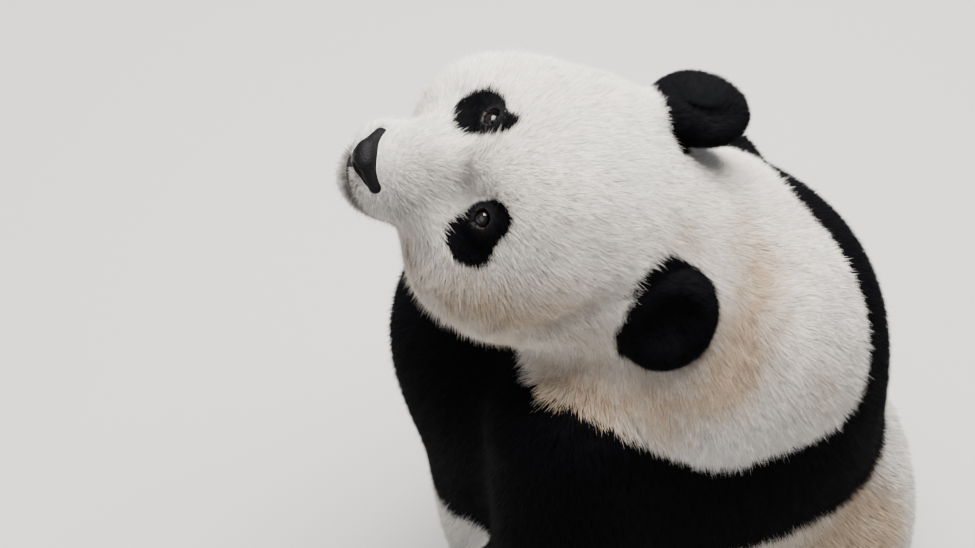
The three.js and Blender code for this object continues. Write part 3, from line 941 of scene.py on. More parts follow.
@dataclass
class Skin:
    """The animal's one skin.

    Args:
        cell: The grid cell that it is drawn from.
        room: The lowest and the highest corner of the room it is in.
    """

    cell: float = 0.0065
    room: tuple[Triple, Triple] = ((-0.460, -0.445, -0.012), (0.460, 0.290, 0.965))

    def build(self) -> bpy.types.Object:
        """Makes the skin, finer on the head and finest around the eyes, and dresses it."""
        surface = Surface.of(FLESH.skin, *self.room, self.cell)
        surface.points = FLESH.settle(surface.points.T, self.cell / 2, 1).T
        for reach in (1.0, 0.5, 0.25):
            surface, fresh = surface.refined(self.is_fine(surface.middles(), reach))
            surface.points[fresh] = FLESH.settle(surface.points[fresh].T, self.cell * reach / 2, 1).T
        skin = surface.mesh("skin")
        points = surface.points.T.astype(np.float32)
        found = FLESH.parts(points)
        black = MARKINGS.black(points, found)
        paint(skin, Tints().skin(points, black))
        flesh = sorted(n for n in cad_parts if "claw" not in n and n not in ("nose", "eye_left", "eye_right"))
        SKIN.dress(skin, tuple(flesh))
        log.info("skin: %d points", len(surface.points))
        return skin

    def is_fine(self, points: np.ndarray, reach: float) -> np.ndarray:
        """Returns which points need a finer mesh: the head, then the face's holes, then the lids."""
        q = HEAD.place.into(points)
        if reach == 1.0:
            toes = [limb.paw_place(side).into(points) for limb in (ARM, LEG) for side in Side]
            paws = np.any([(np.abs(t - column((0, 0.06, 0))) < 0.085).all(0) for t in toes], axis=0)
            return (span(q) < 0.36) & (HEAD.skull(q) < 0.004) & (q[1] < 0.02) | paws
        eyes = HEAD.eye_gap(q)
        if reach == 0.25:
            return eyes < 0.017
        gap = column((0.0, HEAD.mouth_front, HEAD.mouth_height))
        lips = (np.abs(q - gap)[2] < 0.010) & (q[1] < HEAD.mouth_corner + 0.01)
        nose = span(q - column(HEAD.nose)) < 0.05
        return (eyes < 0.030) | lips | nose


@dataclass(frozen=True)
class Tints:
    """The coat's colours."""

    white: Triple = (0.860, 0.820, 0.765)
    # The tan colour is used both for the real stains and for the painted warm shade under the head and towards the
    # floor.
    tan: Triple = (0.560, 0.405, 0.265)
    grey: Triple = (0.170, 0.140, 0.120)
    black: Triple = (0.0026, 0.0027, 0.0037)
    pad: Triple = (0.010, 0.009, 0.009)
    rim: Triple = (0.040, 0.030, 0.031)
    stains: Spots = (
        ((0.218, -0.090, 0.652), 0.075, 0.70),
        ((0.206, -0.020, 0.642), 0.055, 0.65),
        ((0.163, 0.039, 0.671), 0.050, 0.75),
        ((0.125, 0.045, 0.710), 0.050, 0.85),
        ((0.066, 0.045, 0.750), 0.060, 0.60),
        ((0.030, 0.018, 0.785), 0.050, 0.35),
        ((0.090, -0.026, 0.822), 0.050, 0.42),
        ((0.093, 0.136, 0.630), 0.050, 0.35),
        ((0.240, -0.150, 0.760), 0.080, 0.60),
        ((0.250, -0.240, 0.790), 0.060, 0.45),
        ((0.110, 0.165, 0.350), 0.110, 0.95),
        ((0.040, 0.200, 0.330), 0.080, 0.65),
    )
    smudges: Spots = (
        ((-0.016, -0.193, 0.066), 0.015, 1.10),
        ((0.009, -0.196, 0.070), 0.015, 1.15),
        ((0.021, -0.189, 0.066), 0.015, 1.20),
        ((0.010, -0.235, 0.050), 0.030, 0.26),
        ((-0.012, -0.230, 0.050), 0.028, 0.20),
        ((0.020, -0.275, -0.020), 0.020, 0.35),
        ((0.040, -0.225, 0.010), 0.030, 0.16),
    )

    def spotted(self, spots: Spots, points: np.ndarray, amount: np.ndarray) -> np.ndarray:
        """Returns an amount at each point with soft round spots added to it.

        Args:
            spots: The spots, each with its middle, how far it reaches and its strength.
            points: The points, in the same frame as the spots.
            amount: The amount there without the spots.
        """
        for middle, reach, strength in spots:
            away = span(points - column(middle)) / reach
            amount = amount + strength * np.exp(-away * away * 1.4)
        return amount

    def pale(self, points: np.ndarray) -> np.ndarray:
        """Returns the colour of the white coat at each point, one row each, with its warm stains and a painted warm
        shade under the head and towards the floor.
        """
        q = HEAD.place.into(points)
        patchy = 1.0 + 0.35 * noise(points, 0.050, 22) + 0.30 * noise(points, 0.012, 23)
        warmth_and_shade = 0.10 + 0.10 * noise(points, 0.090, 21) + 0.05 * noise(points, 0.010, 24)
        # Painted shade: the coat is made warmer and darker under the head and towards the floor, where shade falls.
        warmth_and_shade = warmth_and_shade + 0.30 * smooth_step(0.02, -0.07, q[2]) * smooth_step(0.26, 0.20, span(q))
        warmth_and_shade = warmth_and_shade + 0.30 * smooth_step(0.30, 0.05, points[2])
        tan = np.clip(self.spotted(self.stains, points, warmth_and_shade) * patchy, 0.0, 0.92)
        grey = np.clip(self.spotted(self.smudges, q, np.zeros(points.shape[1])) * patchy, 0.0, 0.85)
        lips = smooth_step(0.0140, 0.0085, HEAD.lip_gap(q)) * smooth_step(-0.19, -0.23, q[1])
        grey = np.maximum(grey, 0.85 * lips)
        base = column(self.white) + (column(self.tan) - column(self.white)) * tan
        return (base + (column(self.grey) - base) * grey).T

    def skin(self, points: np.ndarray, black: np.ndarray) -> np.ndarray:
        """Returns the skin's colour at each point: the coat's, darker, with dark lids, lips and pads."""
        q = HEAD.place.into(points)
        share = smooth_step(0.003, -0.003, black)[:, None]
        colour = self.pale(points) * 0.72 * (1.0 - share) + np.asarray(self.black) * share
        bare = smooth_step(0.0045, 0.0030, HEAD.lip_gap(q) - 0.0045 * HEAD.lip_front(q))
        rim = np.zeros(points.shape[1])
        for side in Side:
            local = HEAD.eye_frame(side).into(q)
            bare = np.maximum(bare, smooth_step(0.0180, 0.0160, span(local)))
            slit = HEAD.slit(local)
            rim = np.maximum(rim, smooth_step(0.0016, 0.0008, slit) * smooth_step(-0.0010, 0.0, slit) * (local[2] > 0))
            for limb in (ARM, LEG):
                toe = limb.paw_place(side).into(points)
                pads = limb.paw.pad_gap(toe)
                bare = np.maximum(bare, smooth_step(0.003, 0.0, pads))
        bare, rim = bare[:, None], rim[:, None]
        colour = colour * (1.0 - bare) + np.asarray(self.pad) * bare
        return colour * (1.0 - rim) + np.asarray(self.rim) * rim


# ---- The coat ----------------------------------------------------------------------------------

EARS = (Region.EAR_LEFT, Region.EAR_RIGHT)
ARMS = (Region.ARM_LEFT, Region.ARM_RIGHT)
LEGS = (Region.LEG_LEFT, Region.LEG_RIGHT)


@dataclass(frozen=True)
class Cut:
    """How the coat is cut in one region.

    Args:
        tufts: How many tufts it has.
        length: How long a tuft is.
        width: How wide a tuft is at its root.
        clump: How far its tips are drawn together into locks.
        lock: How wide a lock is.
        fuzz: How much further the few longest hairs reach.
    """

    tufts: int
    length: float
    width: float
    clump: float = 0.45
    lock: float = 0.012
    fuzz: float = 0.28


CUTS = {
    Region.FACE: Cut(198000, 0.0130, 0.00100, 0.22, 0.005, 0.90),
    Region.CROWN: Cut(198000, 0.0180, 0.00110, 0.26, 0.007, 0.50),
    Region.EAR_LEFT: Cut(60000, 0.0140, 0.00100, 0.18, 0.006),
    Region.EAR_RIGHT: Cut(45000, 0.0140, 0.00110, 0.18, 0.006),
    Region.COLLAR_LEFT: Cut(198000, 0.0220, 0.00120, 0.22, 0.007),
    Region.COLLAR_RIGHT: Cut(105000, 0.0220, 0.00145, 0.22, 0.008),
    Region.YOKE: Cut(198000, 0.0240, 0.00160, 0.24, 0.009),
    Region.TRUNK_FRONT: Cut(70000, 0.0280, 0.00230, 0.32, 0.012),
    Region.TRUNK_BACK: Cut(110000, 0.0280, 0.00210, 0.32, 0.012),
    Region.ARM_LEFT: Cut(90000, 0.0240, 0.00160, 0.28, 0.010),
    Region.ARM_RIGHT: Cut(60000, 0.0240, 0.00200, 0.28, 0.010),
    Region.LEG_LEFT: Cut(60000, 0.0240, 0.00200, 0.28, 0.010),
    Region.LEG_RIGHT: Cut(60000, 0.0240, 0.00200, 0.28, 0.010),
    Region.TAIL: Cut(10000, 0.0240, 0.00200, 0.28, 0.010),
}


@dataclass
class Roots:
    """Where tufts stand: one column each of place, skin normal and lie of the coat."""

    place: np.ndarray
    normal: np.ndarray
    lie: np.ndarray
    depth: np.ndarray
    shrink: np.ndarray

    def only(self, chosen: np.ndarray) -> "Roots":
        """Returns the chosen tufts."""
        wide = (rows[:, chosen] for rows in (self.place, self.normal, self.lie))
        return Roots(*wide, self.depth[chosen], self.shrink[chosen])


@dataclass
class Coat:
    """The coat: joined tufts over the skin, one piece per region and marking.

    Args:
        skin: The skin that it stands on.
        whorl: The point of the nape that the coat grows away from.
        random: Where its chance comes from.
        fewest: A piece with no more tufts than this is left out.
        sunk: How deep a root stands in the skin.
        floor_gap: How near to the floor a tuft comes.
        shade: How bright a tuft is at its two roots and at its tip: painted shade darkens the roots and painted light
            brightens the tip.
        patch: Half the width of a tuft's patch on the unwrap.
        margin: The empty edge of each chart of the unwrap.
    """

    skin: bpy.types.Object
    whorl: Triple = (0.088, 0.078, 0.708)
    random: np.random.Generator = field(default_factory=lambda: np.random.default_rng(SEED))
    fewest: int = 40
    sunk: float = 0.0008
    floor_gap: float = 0.0006
    shade: Triple = (0.42, 0.42, 1.12)
    patch: float = 0.0015
    margin: float = 0.03

    def build(self) -> None:
        """Makes every piece of the coat."""
        data = self.skin.data
        points = np.empty(len(data.vertices) * 3, np.float32)
        normals = np.empty_like(points)
        data.vertices.foreach_get("co", points)
        data.vertices.foreach_get("normal", normals)
        data.calc_loop_triangles()
        faces = np.empty(len(data.loop_triangles) * 3, np.int32)
        data.loop_triangles.foreach_get("vertices", faces)
        points, normals, faces = (a.reshape(-1, 3) for a in (points, normals, faces))
        sides = points[faces]
        areas = np.linalg.norm(np.cross(sides[:, 1] - sides[:, 0], sides[:, 2] - sides[:, 0]), axis=1) / 2
        regions = self.region(sides.mean(1).T)
        for region, cut in CUTS.items():
            chosen = np.flatnonzero(regions == region.value)
            if not len(chosen):
                continue
            steps = np.cumsum(areas[chosen])
            wanted = (np.arange(cut.tufts) + self.random.random(cut.tufts)) / cut.tufts * steps[-1]
            face = faces[chosen[np.minimum(np.searchsorted(steps, wanted), len(chosen) - 1)]]
            share = np.sqrt(self.random.random(cut.tufts))
            other = self.random.random(cut.tufts)
            weights = np.stack([1 - share, share * (1 - other), share * other])
            place = sum(points[face[:, i]].T * weights[i] for i in range(3))
            normal = unit(sum(normals[face[:, i]].T * weights[i] for i in range(3)))
            self.grow(region, cut, place.astype(np.float32), normal.astype(np.float32))

    def region(self, points: np.ndarray) -> np.ndarray:
        """Returns the number of the region that each point is in."""
        found = FLESH.parts(points)
        q = HEAD.place.into(points)
        order = ["trunk", "head", "tail"] + [part + side.word for part in ("ear_", "arm_", "leg_") for side in Side]
        nearest = np.argmin(np.stack([found[name] + (0.004 if name == "trunk" else 0.0) for name in order]), axis=0)
        top, low = MARKINGS.yoke_edges(points)
        numbers = np.where(points[1] < -0.06, Region.TRUNK_FRONT.value, Region.TRUNK_BACK.value)
        numbers = np.where(points[2] > low, Region.YOKE.value, numbers)
        collar = np.where(points[0] - 0.35 * points[1] > 0.04, Region.COLLAR_LEFT.value, Region.COLLAR_RIGHT.value)
        numbers = np.where(points[2] > top, collar, numbers)
        numbers = np.where(nearest == 1, np.where(q[1] < -0.10, Region.FACE.value, Region.CROWN.value), numbers)
        for place, region in enumerate((Region.TAIL, *EARS, *ARMS, *LEGS), 2):
            numbers = np.where(nearest == place, region.value, numbers)
        return numbers

    def lie(self, points: np.ndarray, found: dict[str, np.ndarray]) -> np.ndarray:
        """Returns the way that the coat lies at each point, before it is laid along the skin."""
        place = HEAD.place
        q = place.into(points)
        cheek = smooth_step(0.05, 0.12, np.abs(q[0])) * smooth_step(0.075, 0.0, q[2])
        source = np.vstack([0.0 * cheek, -0.310 + 0.13 * cheek, -0.010 + 0.03 * cheek])
        back = unit(q - source)
        for side in Side:
            away = q - HEAD.mirrored(HEAD.eye, side)
            near = smooth_step(0.036, 0.018, span(away))
            back = back * (1.0 - near) + unit(away) * near
        whorl = unit(points - column(self.whorl))
        at_whorl = 0.5 * smooth_step(0.100, 0.030, span(points - column(self.whorl)))
        away = unit(unit(points - column(HEAD.joint)) + column((0.0, 0.12, -0.75))) * (1.0 - at_whorl) + whorl * at_whorl
        down = column((0.0, 0.10, -1.0)) + unit(points * column((1.0, 1.0, 0.0))) * 0.12
        high = smooth_step(0.50, 0.66, points[2])
        ways = {"head": place.facing(unit(back)), "trunk": unit(away) * high + unit(down) * (1.0 - high)}
        ways["tail"] = column(FLESH.tail.end) - column(FLESH.tail.start) + np.zeros_like(points)
        for side in Side:
            ear = HEAD.ear_place(side)
            at_ear = ear.into(q)
            outward = unit(at_ear - column((0.0, 0.004, -0.020)))
            inside = np.hypot(at_ear[0], at_ear[2] - HEAD.ear_rise)
            cup = smooth_step(0.0, -0.012, at_ear[1]) * smooth_step(0.046, 0.026, inside)
            ways["ear_" + side.word] = place.facing(ear.facing(unit(outward + column((0.0, -1.2, 0.0)) * cup)))
            for name, limb in (("arm_", ARM), ("leg_", LEG)):
                root, middle, end = (column(joint) for joint in limb.joints(side))
                paw = limb.paw_place(side)
                toes = paw.facing(column((0.0, 1.0, -0.15)))
                at_knee = smooth_step(-0.06, 0.06, dot(points - middle, unit(end - root)))
                at_paw = smooth_step(-0.04, 0.04, paw.into(points)[1])
                way = unit(middle - root) * (1.0 - at_knee) + unit(end - middle) * at_knee
                ways[name + side.word] = way * (1.0 - at_paw) + toes * at_paw
        weights = {name: np.exp(-np.clip(found[name], -0.02, 0.2) / 0.012) for name in ways}
        return unit(sum(unit(ways[name]) * weights[name] for name in ways))

    def bare(self, points: np.ndarray, normal: np.ndarray) -> np.ndarray:
        """Returns where no tuft stands: the lids' rims, nose pad, lips, soles and what rests on the floor."""
        q = HEAD.place.into(points)
        none = (points[2] < 0.004) & (normal[2] < -0.5)
        none |= HEAD.eye_gap(q) < 0.0140
        for side in Side:
            for limb in (ARM, LEG):
                toe = limb.paw_place(side).into(points)
                none |= limb.paw.pad_gap(toe) < 0.002
        none |= NosePad().distance(q) < 0.0008
        none |= HEAD.lip_gap(q) < 0.0030 + 0.0052 * HEAD.lip_front(q)
        return none

    def grow(self, region: Region, cut: Cut, place: np.ndarray, normal: np.ndarray) -> None:
        """Makes one region's tufts: one piece of white ones and one of black ones.

        Args:
            region: The region.
            cut: How its coat is cut.
            place: The roots, on the skin.
            normal: The skin's normals there.
        """
        kept = ~self.bare(place, normal)
        place, normal = place[:, kept], normal[:, kept]
        found = FLESH.parts(place)
        lie = self.lie(place, found)
        wander = 0.25 * noise(place, 0.050, 31) + 0.15 * noise(place, 0.015, 32)
        wander = wander + self.random.normal(0.0, 0.14, place.shape[1])
        lie = unit(lie - normal * dot(lie, normal) + normal * 1e-4)
        across = np.cross(normal.T, lie.T).T
        lie = unit(lie * np.cos(wander) + across * np.sin(wander))
        q = HEAD.place.into(place)
        eyes = HEAD.eye_gap(q)
        nose = span(q - column(HEAD.nose))
        shrink = (0.22 + 0.78 * smooth_step(0.015, 0.040, eyes)) * (0.45 + 0.55 * smooth_step(0.02, 0.09, nose))
        if region in ARMS + LEGS:
            limb = ARM if region in ARMS else LEG
            side = Side.LEFT if region.name.endswith("LEFT") else Side.RIGHT
            shrink = shrink * (1.0 - 0.55 * smooth_step(-0.03, 0.06, limb.paw_place(side).into(place)[1]))
        roots = Roots(place, normal, lie, FLESH.depth(place, found), shrink)
        reach = 0.15 if region in EARS else 1.0
        shown = place + (lie * (cut.length * shrink * 0.60) + normal * roots.depth * 0.85) * reach
        black = MARKINGS.black(shown, FLESH.parts(shown)) < self.random.normal(0.0, 0.0009, shown.shape[1])
        for marked, finish, word in ((False, WHITE_FUR, "white"), (True, BLACK_FUR, "black")):
            chosen = black == marked
            if chosen.sum() > self.fewest:
                self.piece(f"coat_{region.name.lower()}_{word}", roots.only(chosen), cut, finish, marked)

    def piece(self, name: str, roots: Roots, cut: Cut, finish: Finish, black: bool) -> None:
        """Makes one piece of the coat.

        A tuft is a thin blade with three points: two at its root, and its tip.

        Args:
            name: The piece's name.
            roots: Where its tufts stand.
            cut: How they are cut.
            finish: Their finish.
            black: Whether they are black.
        """
        count = roots.place.shape[1]
        chance = self.random.random((5, count)).astype(np.float32)
        guard = 1.0 + cut.fuzz * np.maximum(chance[4] - 0.90, 0.0) * 10.0
        length = cut.length * roots.shrink * (0.70 + 0.50 * chance[0]) * guard
        height = np.minimum(roots.depth * (0.78 + 0.40 * chance[1]) * guard, length * 0.88)
        run = np.sqrt(length * length - height * height)
        gather = (self.lock_centres(roots.place, cut.lock) - roots.place) * cut.clump
        gather = gather - roots.normal * dot(gather, roots.normal)
        tip = roots.place + roots.normal * height + roots.lie * run + gather
        foot = roots.place - roots.normal * self.sunk
        twist = (chance[2] - 0.5) * 1.9
        flat = np.cross(roots.lie.T, roots.normal.T).T
        wide = unit(flat * np.cos(twist) + roots.normal * np.sin(twist))
        broad = wide * cut.width * (0.45 + 0.55 * roots.shrink) * 0.5
        points = np.stack([foot - broad, foot + broad, tip], 1).transpose(2, 1, 0).reshape(-1, 3)
        points[:, 2] = np.maximum(points[:, 2], self.floor_gap)
        piece = mesh_from(name, points, np.arange(count * 3), np.full(count, 3))
        facet = unit(np.cross(wide.T, (tip - foot).T).T)
        facet = facet * np.sign(dot(facet, roots.normal) + 1e-6)
        tilt = np.vstack([noise(roots.place, cut.lock * 0.6, 53 + axis) for axis in range(3)])
        soft = unit(roots.normal * 0.52 + facet * 0.50 + roots.lie * 0.18 + tilt * 0.30)
        piece.data.shade_smooth()
        piece.data.normals_split_custom_set_from_vertices(np.repeat(soft.T, 3, axis=0))
        base = np.tile(Tints.black, (count, 1)) if black else Tints().pale(roots.place)
        locks = 0.17 * noise(roots.place, cut.lock * 0.6, 51) + 0.05 * noise(roots.place, 0.030, 52)
        bright = (0.70 + 0.46 * chance[3] + locks)[:, None, None]
        # Painted shade and light: each tuft is darker at its roots, as if in the shade between tufts, and lighter at
        # its tip.
        shade = np.array(self.shade)[None, :, None]
        paint(piece, (base[:, None, :] * bright * shade).reshape(-1, 3))
        self.unwrap(piece, roots)
        finish.dress(piece)
        log.info("%s: %d tufts", name, count)

    def lock_centres(self, place: np.ndarray, size: float) -> np.ndarray:
        """Returns for each root the middle of the lock that it belongs to.

        Args:
            place: The roots.
            size: How wide a lock is.
        """
        scaled = place.astype(np.float64) / size
        low = np.floor(scaled).astype(np.int64)
        best, centre = np.full(place.shape[1], 9e9), np.zeros(place.shape)
        for step in np.ndindex(3, 3, 3):
            cell = low + np.asarray(step).reshape(3, 1) - 1
            spot = cell + np.stack([hashed(cell, salt) for salt in (41, 42, 43)])
            reach = ((spot - scaled) ** 2).sum(0)
            nearer = reach < best
            best = np.where(nearer, reach, best)
            centre = np.where(nearer, spot, centre)
        return (centre * size).astype(np.float32)

    def unwrap(self, piece: bpy.types.Object, roots: Roots) -> None:
        """Lays the tufts' patches out on an unwrap of the skin: six charts by the way the skin faces.

        Args:
            piece: The piece of coat.
            roots: Where its tufts stand.
        """
        facing = np.argmax(np.abs(roots.normal), axis=0)
        ahead = np.take_along_axis(roots.normal, facing[None], 0)[0] > 0
        low, high = roots.place.min(1, keepdims=True), roots.place.max(1, keepdims=True)
        scaled = (roots.place - low) / np.maximum(high - low, 1e-6)
        u = np.take_along_axis(scaled, ((facing + 1) % 3)[None], 0)[0]
        v = np.take_along_axis(scaled, ((facing + 2) % 3)[None], 0)[0]
        inner = 1.0 - 2.0 * self.margin
        middle = np.stack([(facing + self.margin + inner * u) / 3, (ahead + self.margin + inner * v) / 2], 1)
        patch = np.array([(-1, -1), (1, -1), (0, 1)]) * self.patch
        spots = middle[:, None, :] + patch[None]
        layer = piece.data.uv_layers.new(name="OFBake")
        layer.data.foreach_set("uv", spots.astype(np.float32).ravel())


# ---- Eyes, nose and claws ----------------------------------------------------------------------


@dataclass(frozen=True)
class Eye:
    """One eye: a ball with a bulge over its iris, turned to what the animal looks at."""

    side: Side
    iris: float = 46.0
    pupil: float = 22.0
    bulge: float = 0.0006
    rings: int = 64
    spokes: int = 64
    brown: Triple = (0.008, 0.0045, 0.003)
    rim: Triple = (0.004, 0.003, 0.003)
    white: Triple = (0.012, 0.009, 0.009)
    furthest: float = 24.0

    def build(self, watched: np.ndarray) -> bpy.types.Object:
        """Makes the eye.

        Args:
            watched: The point that it looks at, in the body's frame.
        """
        frame_of = HEAD.eye_frame(self.side)
        centre = HEAD.place.out_of(frame_of.origin)
        ahead = HEAD.place.facing(frame_of.facing(column((0.0, 0.0, 1.0))))
        wanted = unit(watched - centre)
        angle = math.degrees(math.acos(float(np.clip(dot(wanted, ahead)[0], -1, 1))))
        gaze = unit(ahead + (wanted - ahead) * min(1.0, self.furthest / max(angle, 1e-3)))
        right = unit(np.cross((0.0, 0.0, 1.0), gaze[:, 0]).reshape(3, 1))
        above = np.cross(gaze[:, 0], right[:, 0]).reshape(3, 1)
        polar = np.linspace(0.0, math.pi, self.rings)[:, None]
        around = np.arange(self.spokes)[None] * (2 * math.pi / self.spokes)
        bulge = self.bulge * smooth_step(math.radians(self.iris + 6), math.radians(self.iris - 10), polar)
        reach = HEAD.eye_radius + bulge
        a, b, c = (
            (reach * np.sin(polar) * np.cos(around)).ravel(),
            (reach * np.sin(polar) * np.sin(around)).ravel(),
            (reach * np.cos(polar) * np.ones_like(around)).ravel(),
        )
        points = (centre + right * a + above * b + gaze * c).T
        ring, spoke = np.meshgrid(np.arange(self.rings - 1), np.arange(self.spokes), indexing="ij")
        after = (spoke + 1) % self.spokes
        corners = np.stack([ring * self.spokes + spoke, (ring + 1) * self.spokes + spoke,
                            (ring + 1) * self.spokes + after, ring * self.spokes + after], -1)
        piece = mesh_from("eyeball_" + self.side.word, points, corners.ravel(), np.full(corners[..., 0].size, 4))
        piece.data.shade_smooth()
        paint(piece, self.colours(np.degrees(polar + 0 * around).ravel(), (around + 0 * polar).ravel()))
        EYE_GLOSS.dress(piece, ("eye_" + self.side.word,))
        return piece

    def colours(self, polar: np.ndarray, around: np.ndarray) -> np.ndarray:
        """Returns the colour at each angle from the gaze: pupil, streaked iris, dark rim, white."""
        streak = 0.75 + 0.25 * np.sin(around * 23.0) * np.sin(around * 9.0 + 1.0)
        brown = np.asarray(self.brown)[None] * streak[:, None]
        black = np.asarray((0.002, 0.002, 0.002))[None]
        inner = smooth_step(self.pupil - 1.5, self.pupil + 1.5, polar)[:, None]
        outer = smooth_step(self.iris - 7, self.iris, polar)[:, None]
        white = smooth_step(self.iris + 6, self.iris + 22, polar)[:, None]
        colour = black + (brown - black) * inner
        colour = colour + (np.asarray(self.rim)[None] - colour) * outer
        return colour + (np.asarray(self.white)[None] - colour) * white


@dataclass(frozen=True)
class NosePad:
    """The bare nose: a tip, a wing swept back to each side with its nostril, and a stem down to the lip."""

    tip: float = 0.014
    wing: float = 0.038
    sweep: float = 0.015
    cell: float = 0.0009

    def distance(self, q: np.ndarray) -> np.ndarray:
        """Returns the distance to the pad, from points in the head's frame."""
        x, y, z = HEAD.nose
        shapes: list[Egg | Bone] = [Egg((x, y, z), (0.017, self.tip, 0.013), 0.008)]
        for s in (1, -1):
            end = (s * (self.wing - 0.009), y + self.sweep, z + 0.001)
            shapes.append(Bone((s * 0.008, y, z), end, 0.013, 0.009, 0.008))
        shapes.append(Egg((x, y + 0.002, z - 0.013), (0.008, 0.011, 0.014), 0.008))
        return flow(shapes, q)

    def carved(self, points: np.ndarray) -> np.ndarray:
        """Returns the distance to the pad with its nostrils and groove, in the body's frame."""
        q = HEAD.place.into(points)
        total = self.distance(q)
        x, y, z = HEAD.nose
        for s in (1, -1):
            hole = Bone((s * 0.012, y - 0.012, z - 0.004), (s * 0.021, y - 0.007, z - 0.001), 0.0046, 0.0040, 0.002)
            slit = Bone((s * 0.021, y - 0.007, z - 0.001), (s * 0.0335, y + 0.006, z - 0.002), 0.0036, 0.0014, 0.002)
            total = carve(total, blend(hole.distance(q), slit.distance(q), 0.002), 0.003)
        groove = Bone((x, y - 0.0142, z - 0.001), (x, y - 0.0085, z - 0.026), 0.0009, 0.0013, 0.001)
        return carve(total, groove.distance(q), 0.002)

    def build(self) -> bpy.types.Object:
        """Makes the nose pad."""
        centre = HEAD.place.out_of(column(HEAD.nose))[:, 0]
        room = [tuple(float(c + reach) for c in centre) for reach in (-0.05, 0.05)]
        piece = Surface.of(self.carved, room[0], room[1], self.cell).mesh("nose_pad")
        NOSE_SKIN.dress(piece, ("nose",))
        return piece


@dataclass(frozen=True)
class Claws:
    """The five claws of one paw: curved hooks, narrow from side to side."""

    name: str
    limb: Limb
    side: Side
    rings: int = 12
    spokes: int = 14
    narrow: float = 0.78

    def build(self) -> bpy.types.Object:
        """Makes the claws as one piece."""
        paw, place = self.limb.paw, self.limb.paw_place(self.side)
        bend = math.radians(paw.claw_bend)
        share = np.linspace(0.0, 1.0, self.rings)[:, None]
        around = np.arange(self.spokes)[None] * (2 * math.pi / self.spokes)
        radius = paw.claw_root * (1.0 - share) ** 0.72 + 0.0003
        sweep = paw.claw_length / bend
        x = radius * np.cos(around) * self.narrow
        z = radius * np.sin(around) * (1.0 + 0.12 * (np.sin(around) < 0))
        y = (sweep + z) * np.sin(share * bend)
        z = (sweep + z) * np.cos(share * bend) - sweep
        rows, faces = [], []
        ring, spoke = np.meshgrid(np.arange(self.rings - 1), np.arange(self.spokes), indexing="ij")
        after = (spoke + 1) % self.spokes
        quads = np.stack([ring * self.spokes + spoke, (ring + 1) * self.spokes + spoke,
                          (ring + 1) * self.spokes + after, ring * self.spokes + after], -1).reshape(-1, 4)
        for n, digit in enumerate(range(-2, 3)):
            toe = column((digit * paw.toe_spread, paw.toe_reach(digit) + 0.002, 0.001))
            rows.append(place.out_of(np.stack([x.ravel(), y.ravel(), z.ravel()]) + toe).T)
            faces.append(quads + n * self.rings * self.spokes)
        faces = np.concatenate(faces)
        piece = mesh_from(f"{self.name}_claws_{self.side.word}", np.concatenate(rows), faces.ravel(), np.full(len(faces), 4))
        piece.data.shade_smooth()
        nodes = tuple(f"{self.name}_claw_{n}_{self.side.word}" for n in range(1, 6))
        CLAW_HORN.dress(piece, nodes)
        return piece


# ---- Floor, light and camera -------------------------------------------------------------------


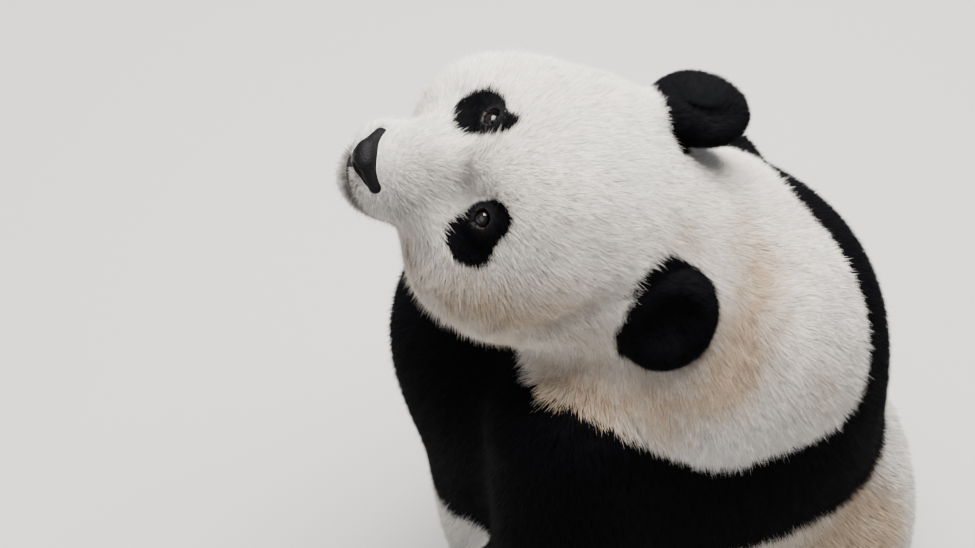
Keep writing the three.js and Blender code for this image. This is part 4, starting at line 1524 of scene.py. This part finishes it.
@dataclass(frozen=True)
class Studio:
    """A pale floor, soft light from above and the camera."""

    target: Triple = (0.22233, -0.21357, 0.81734)
    to_camera: Triple = (0.604, 0.220, 0.766)
    right: Triple = (-0.342, 0.940, 0.0)
    distance: float = 4.5
    lens: float = 152.86
    floor: Triple = (0.62, 0.60, 0.57)
    floor_half: float = 6.0
    sky: tuple[float, float, float, float] = (0.86, 0.91, 1.0, 1.0)
    sky_power: float = 0.42
    lit: Triple = (0.1, -0.1, 0.6)

    @property
    def camera_place(self) -> np.ndarray:
        """Where the camera is, as a column."""
        return column(self.target) + column(self.to_camera) * self.distance

    def build(self) -> None:
        """Makes the floor, the lights and the camera."""
        half = self.floor_half
        rows = np.array([(-half, -half, 0), (half, -half, 0), (half, half, 0), (-half, half, 0)])
        floor = mesh_from("floor", rows, np.arange(4), np.array([4]))
        floor.data.materials.append(Finish("floor", self.floor, 0.9).material("floor_finish"))
        floor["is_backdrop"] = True
        scene = bpy.context.scene
        world = bpy.data.worlds.new("sky")
        world.use_nodes = True
        world.node_tree.nodes["Background"].inputs["Color"].default_value = self.sky
        world.node_tree.nodes["Background"].inputs["Strength"].default_value = self.sky_power
        scene.world = world
        self.lamp("key", (-0.5, -0.2, 3.3), 2.4, 365.0, (1.0, 0.985, 0.96))
        self.lamp("fill", (2.4, -1.6, 2.6), 2.5, 30.0, (0.93, 0.96, 1.0))
        self.aim_camera(scene)

    def lamp(self, name: str, place: Triple, size: float, power: float, colour: Triple) -> None:
        """Adds one large soft lamp that faces the upper body.

        Args:
            name: The lamp's name.
            place: Where it hangs.
            size: How wide it is.
            power: Its power in watts.
            colour: Its colour.
        """
        light = bpy.data.lights.new(name, "AREA")
        light.size, light.energy, light.color = size, power, colour
        lamp = bpy.data.objects.new(name, light)
        lamp.location = place
        lamp.rotation_euler = (Vector(self.lit) - Vector(place)).to_track_quat("-Z", "Y").to_euler()
        bpy.context.scene.collection.objects.link(lamp)

    def aim_camera(self, scene: bpy.types.Scene) -> None:
        """Adds the camera.

        Args:
            scene: The scene that looks through it.
        """
        back = unit(column(self.to_camera))
        right = unit(column(self.right))
        above = np.cross(back[:, 0], right[:, 0]).reshape(3, 1)
        data = bpy.data.cameras.new("camera")
        data.lens, data.sensor_width, data.clip_end = self.lens, 36.0, 50.0
        camera = bpy.data.objects.new("camera", data)
        turn = Matrix(np.hstack([right, above, back]).tolist()).to_4x4()
        camera.matrix_world = Matrix.Translation(Vector(self.camera_place[:, 0].tolist())) @ turn
        scene.collection.objects.link(camera)
        scene.camera = camera


def main() -> None:
    """Builds the animal and the studio, and notes how large both the solids and the whole are."""
    logging.basicConfig(level=logging.INFO, format="%(message)s")
    studio = Studio()
    skin = Skin().build()
    Coat(skin).build()
    for side in Side:
        Eye(side).build(studio.camera_place)
        Claws("forepaw", ARM, side).build()
        Claws("hindpaw", LEG, side).build()
    NosePad().build()
    studio.build()
    sizes = {"solids": SOLID_BOX, "dressed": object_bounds()}
    plain = {name: [[float(x) for x in corner] for corner in box] for name, box in sizes.items()}
    log.info("size: %s", plain)


if __name__ == "__main__":
    main()
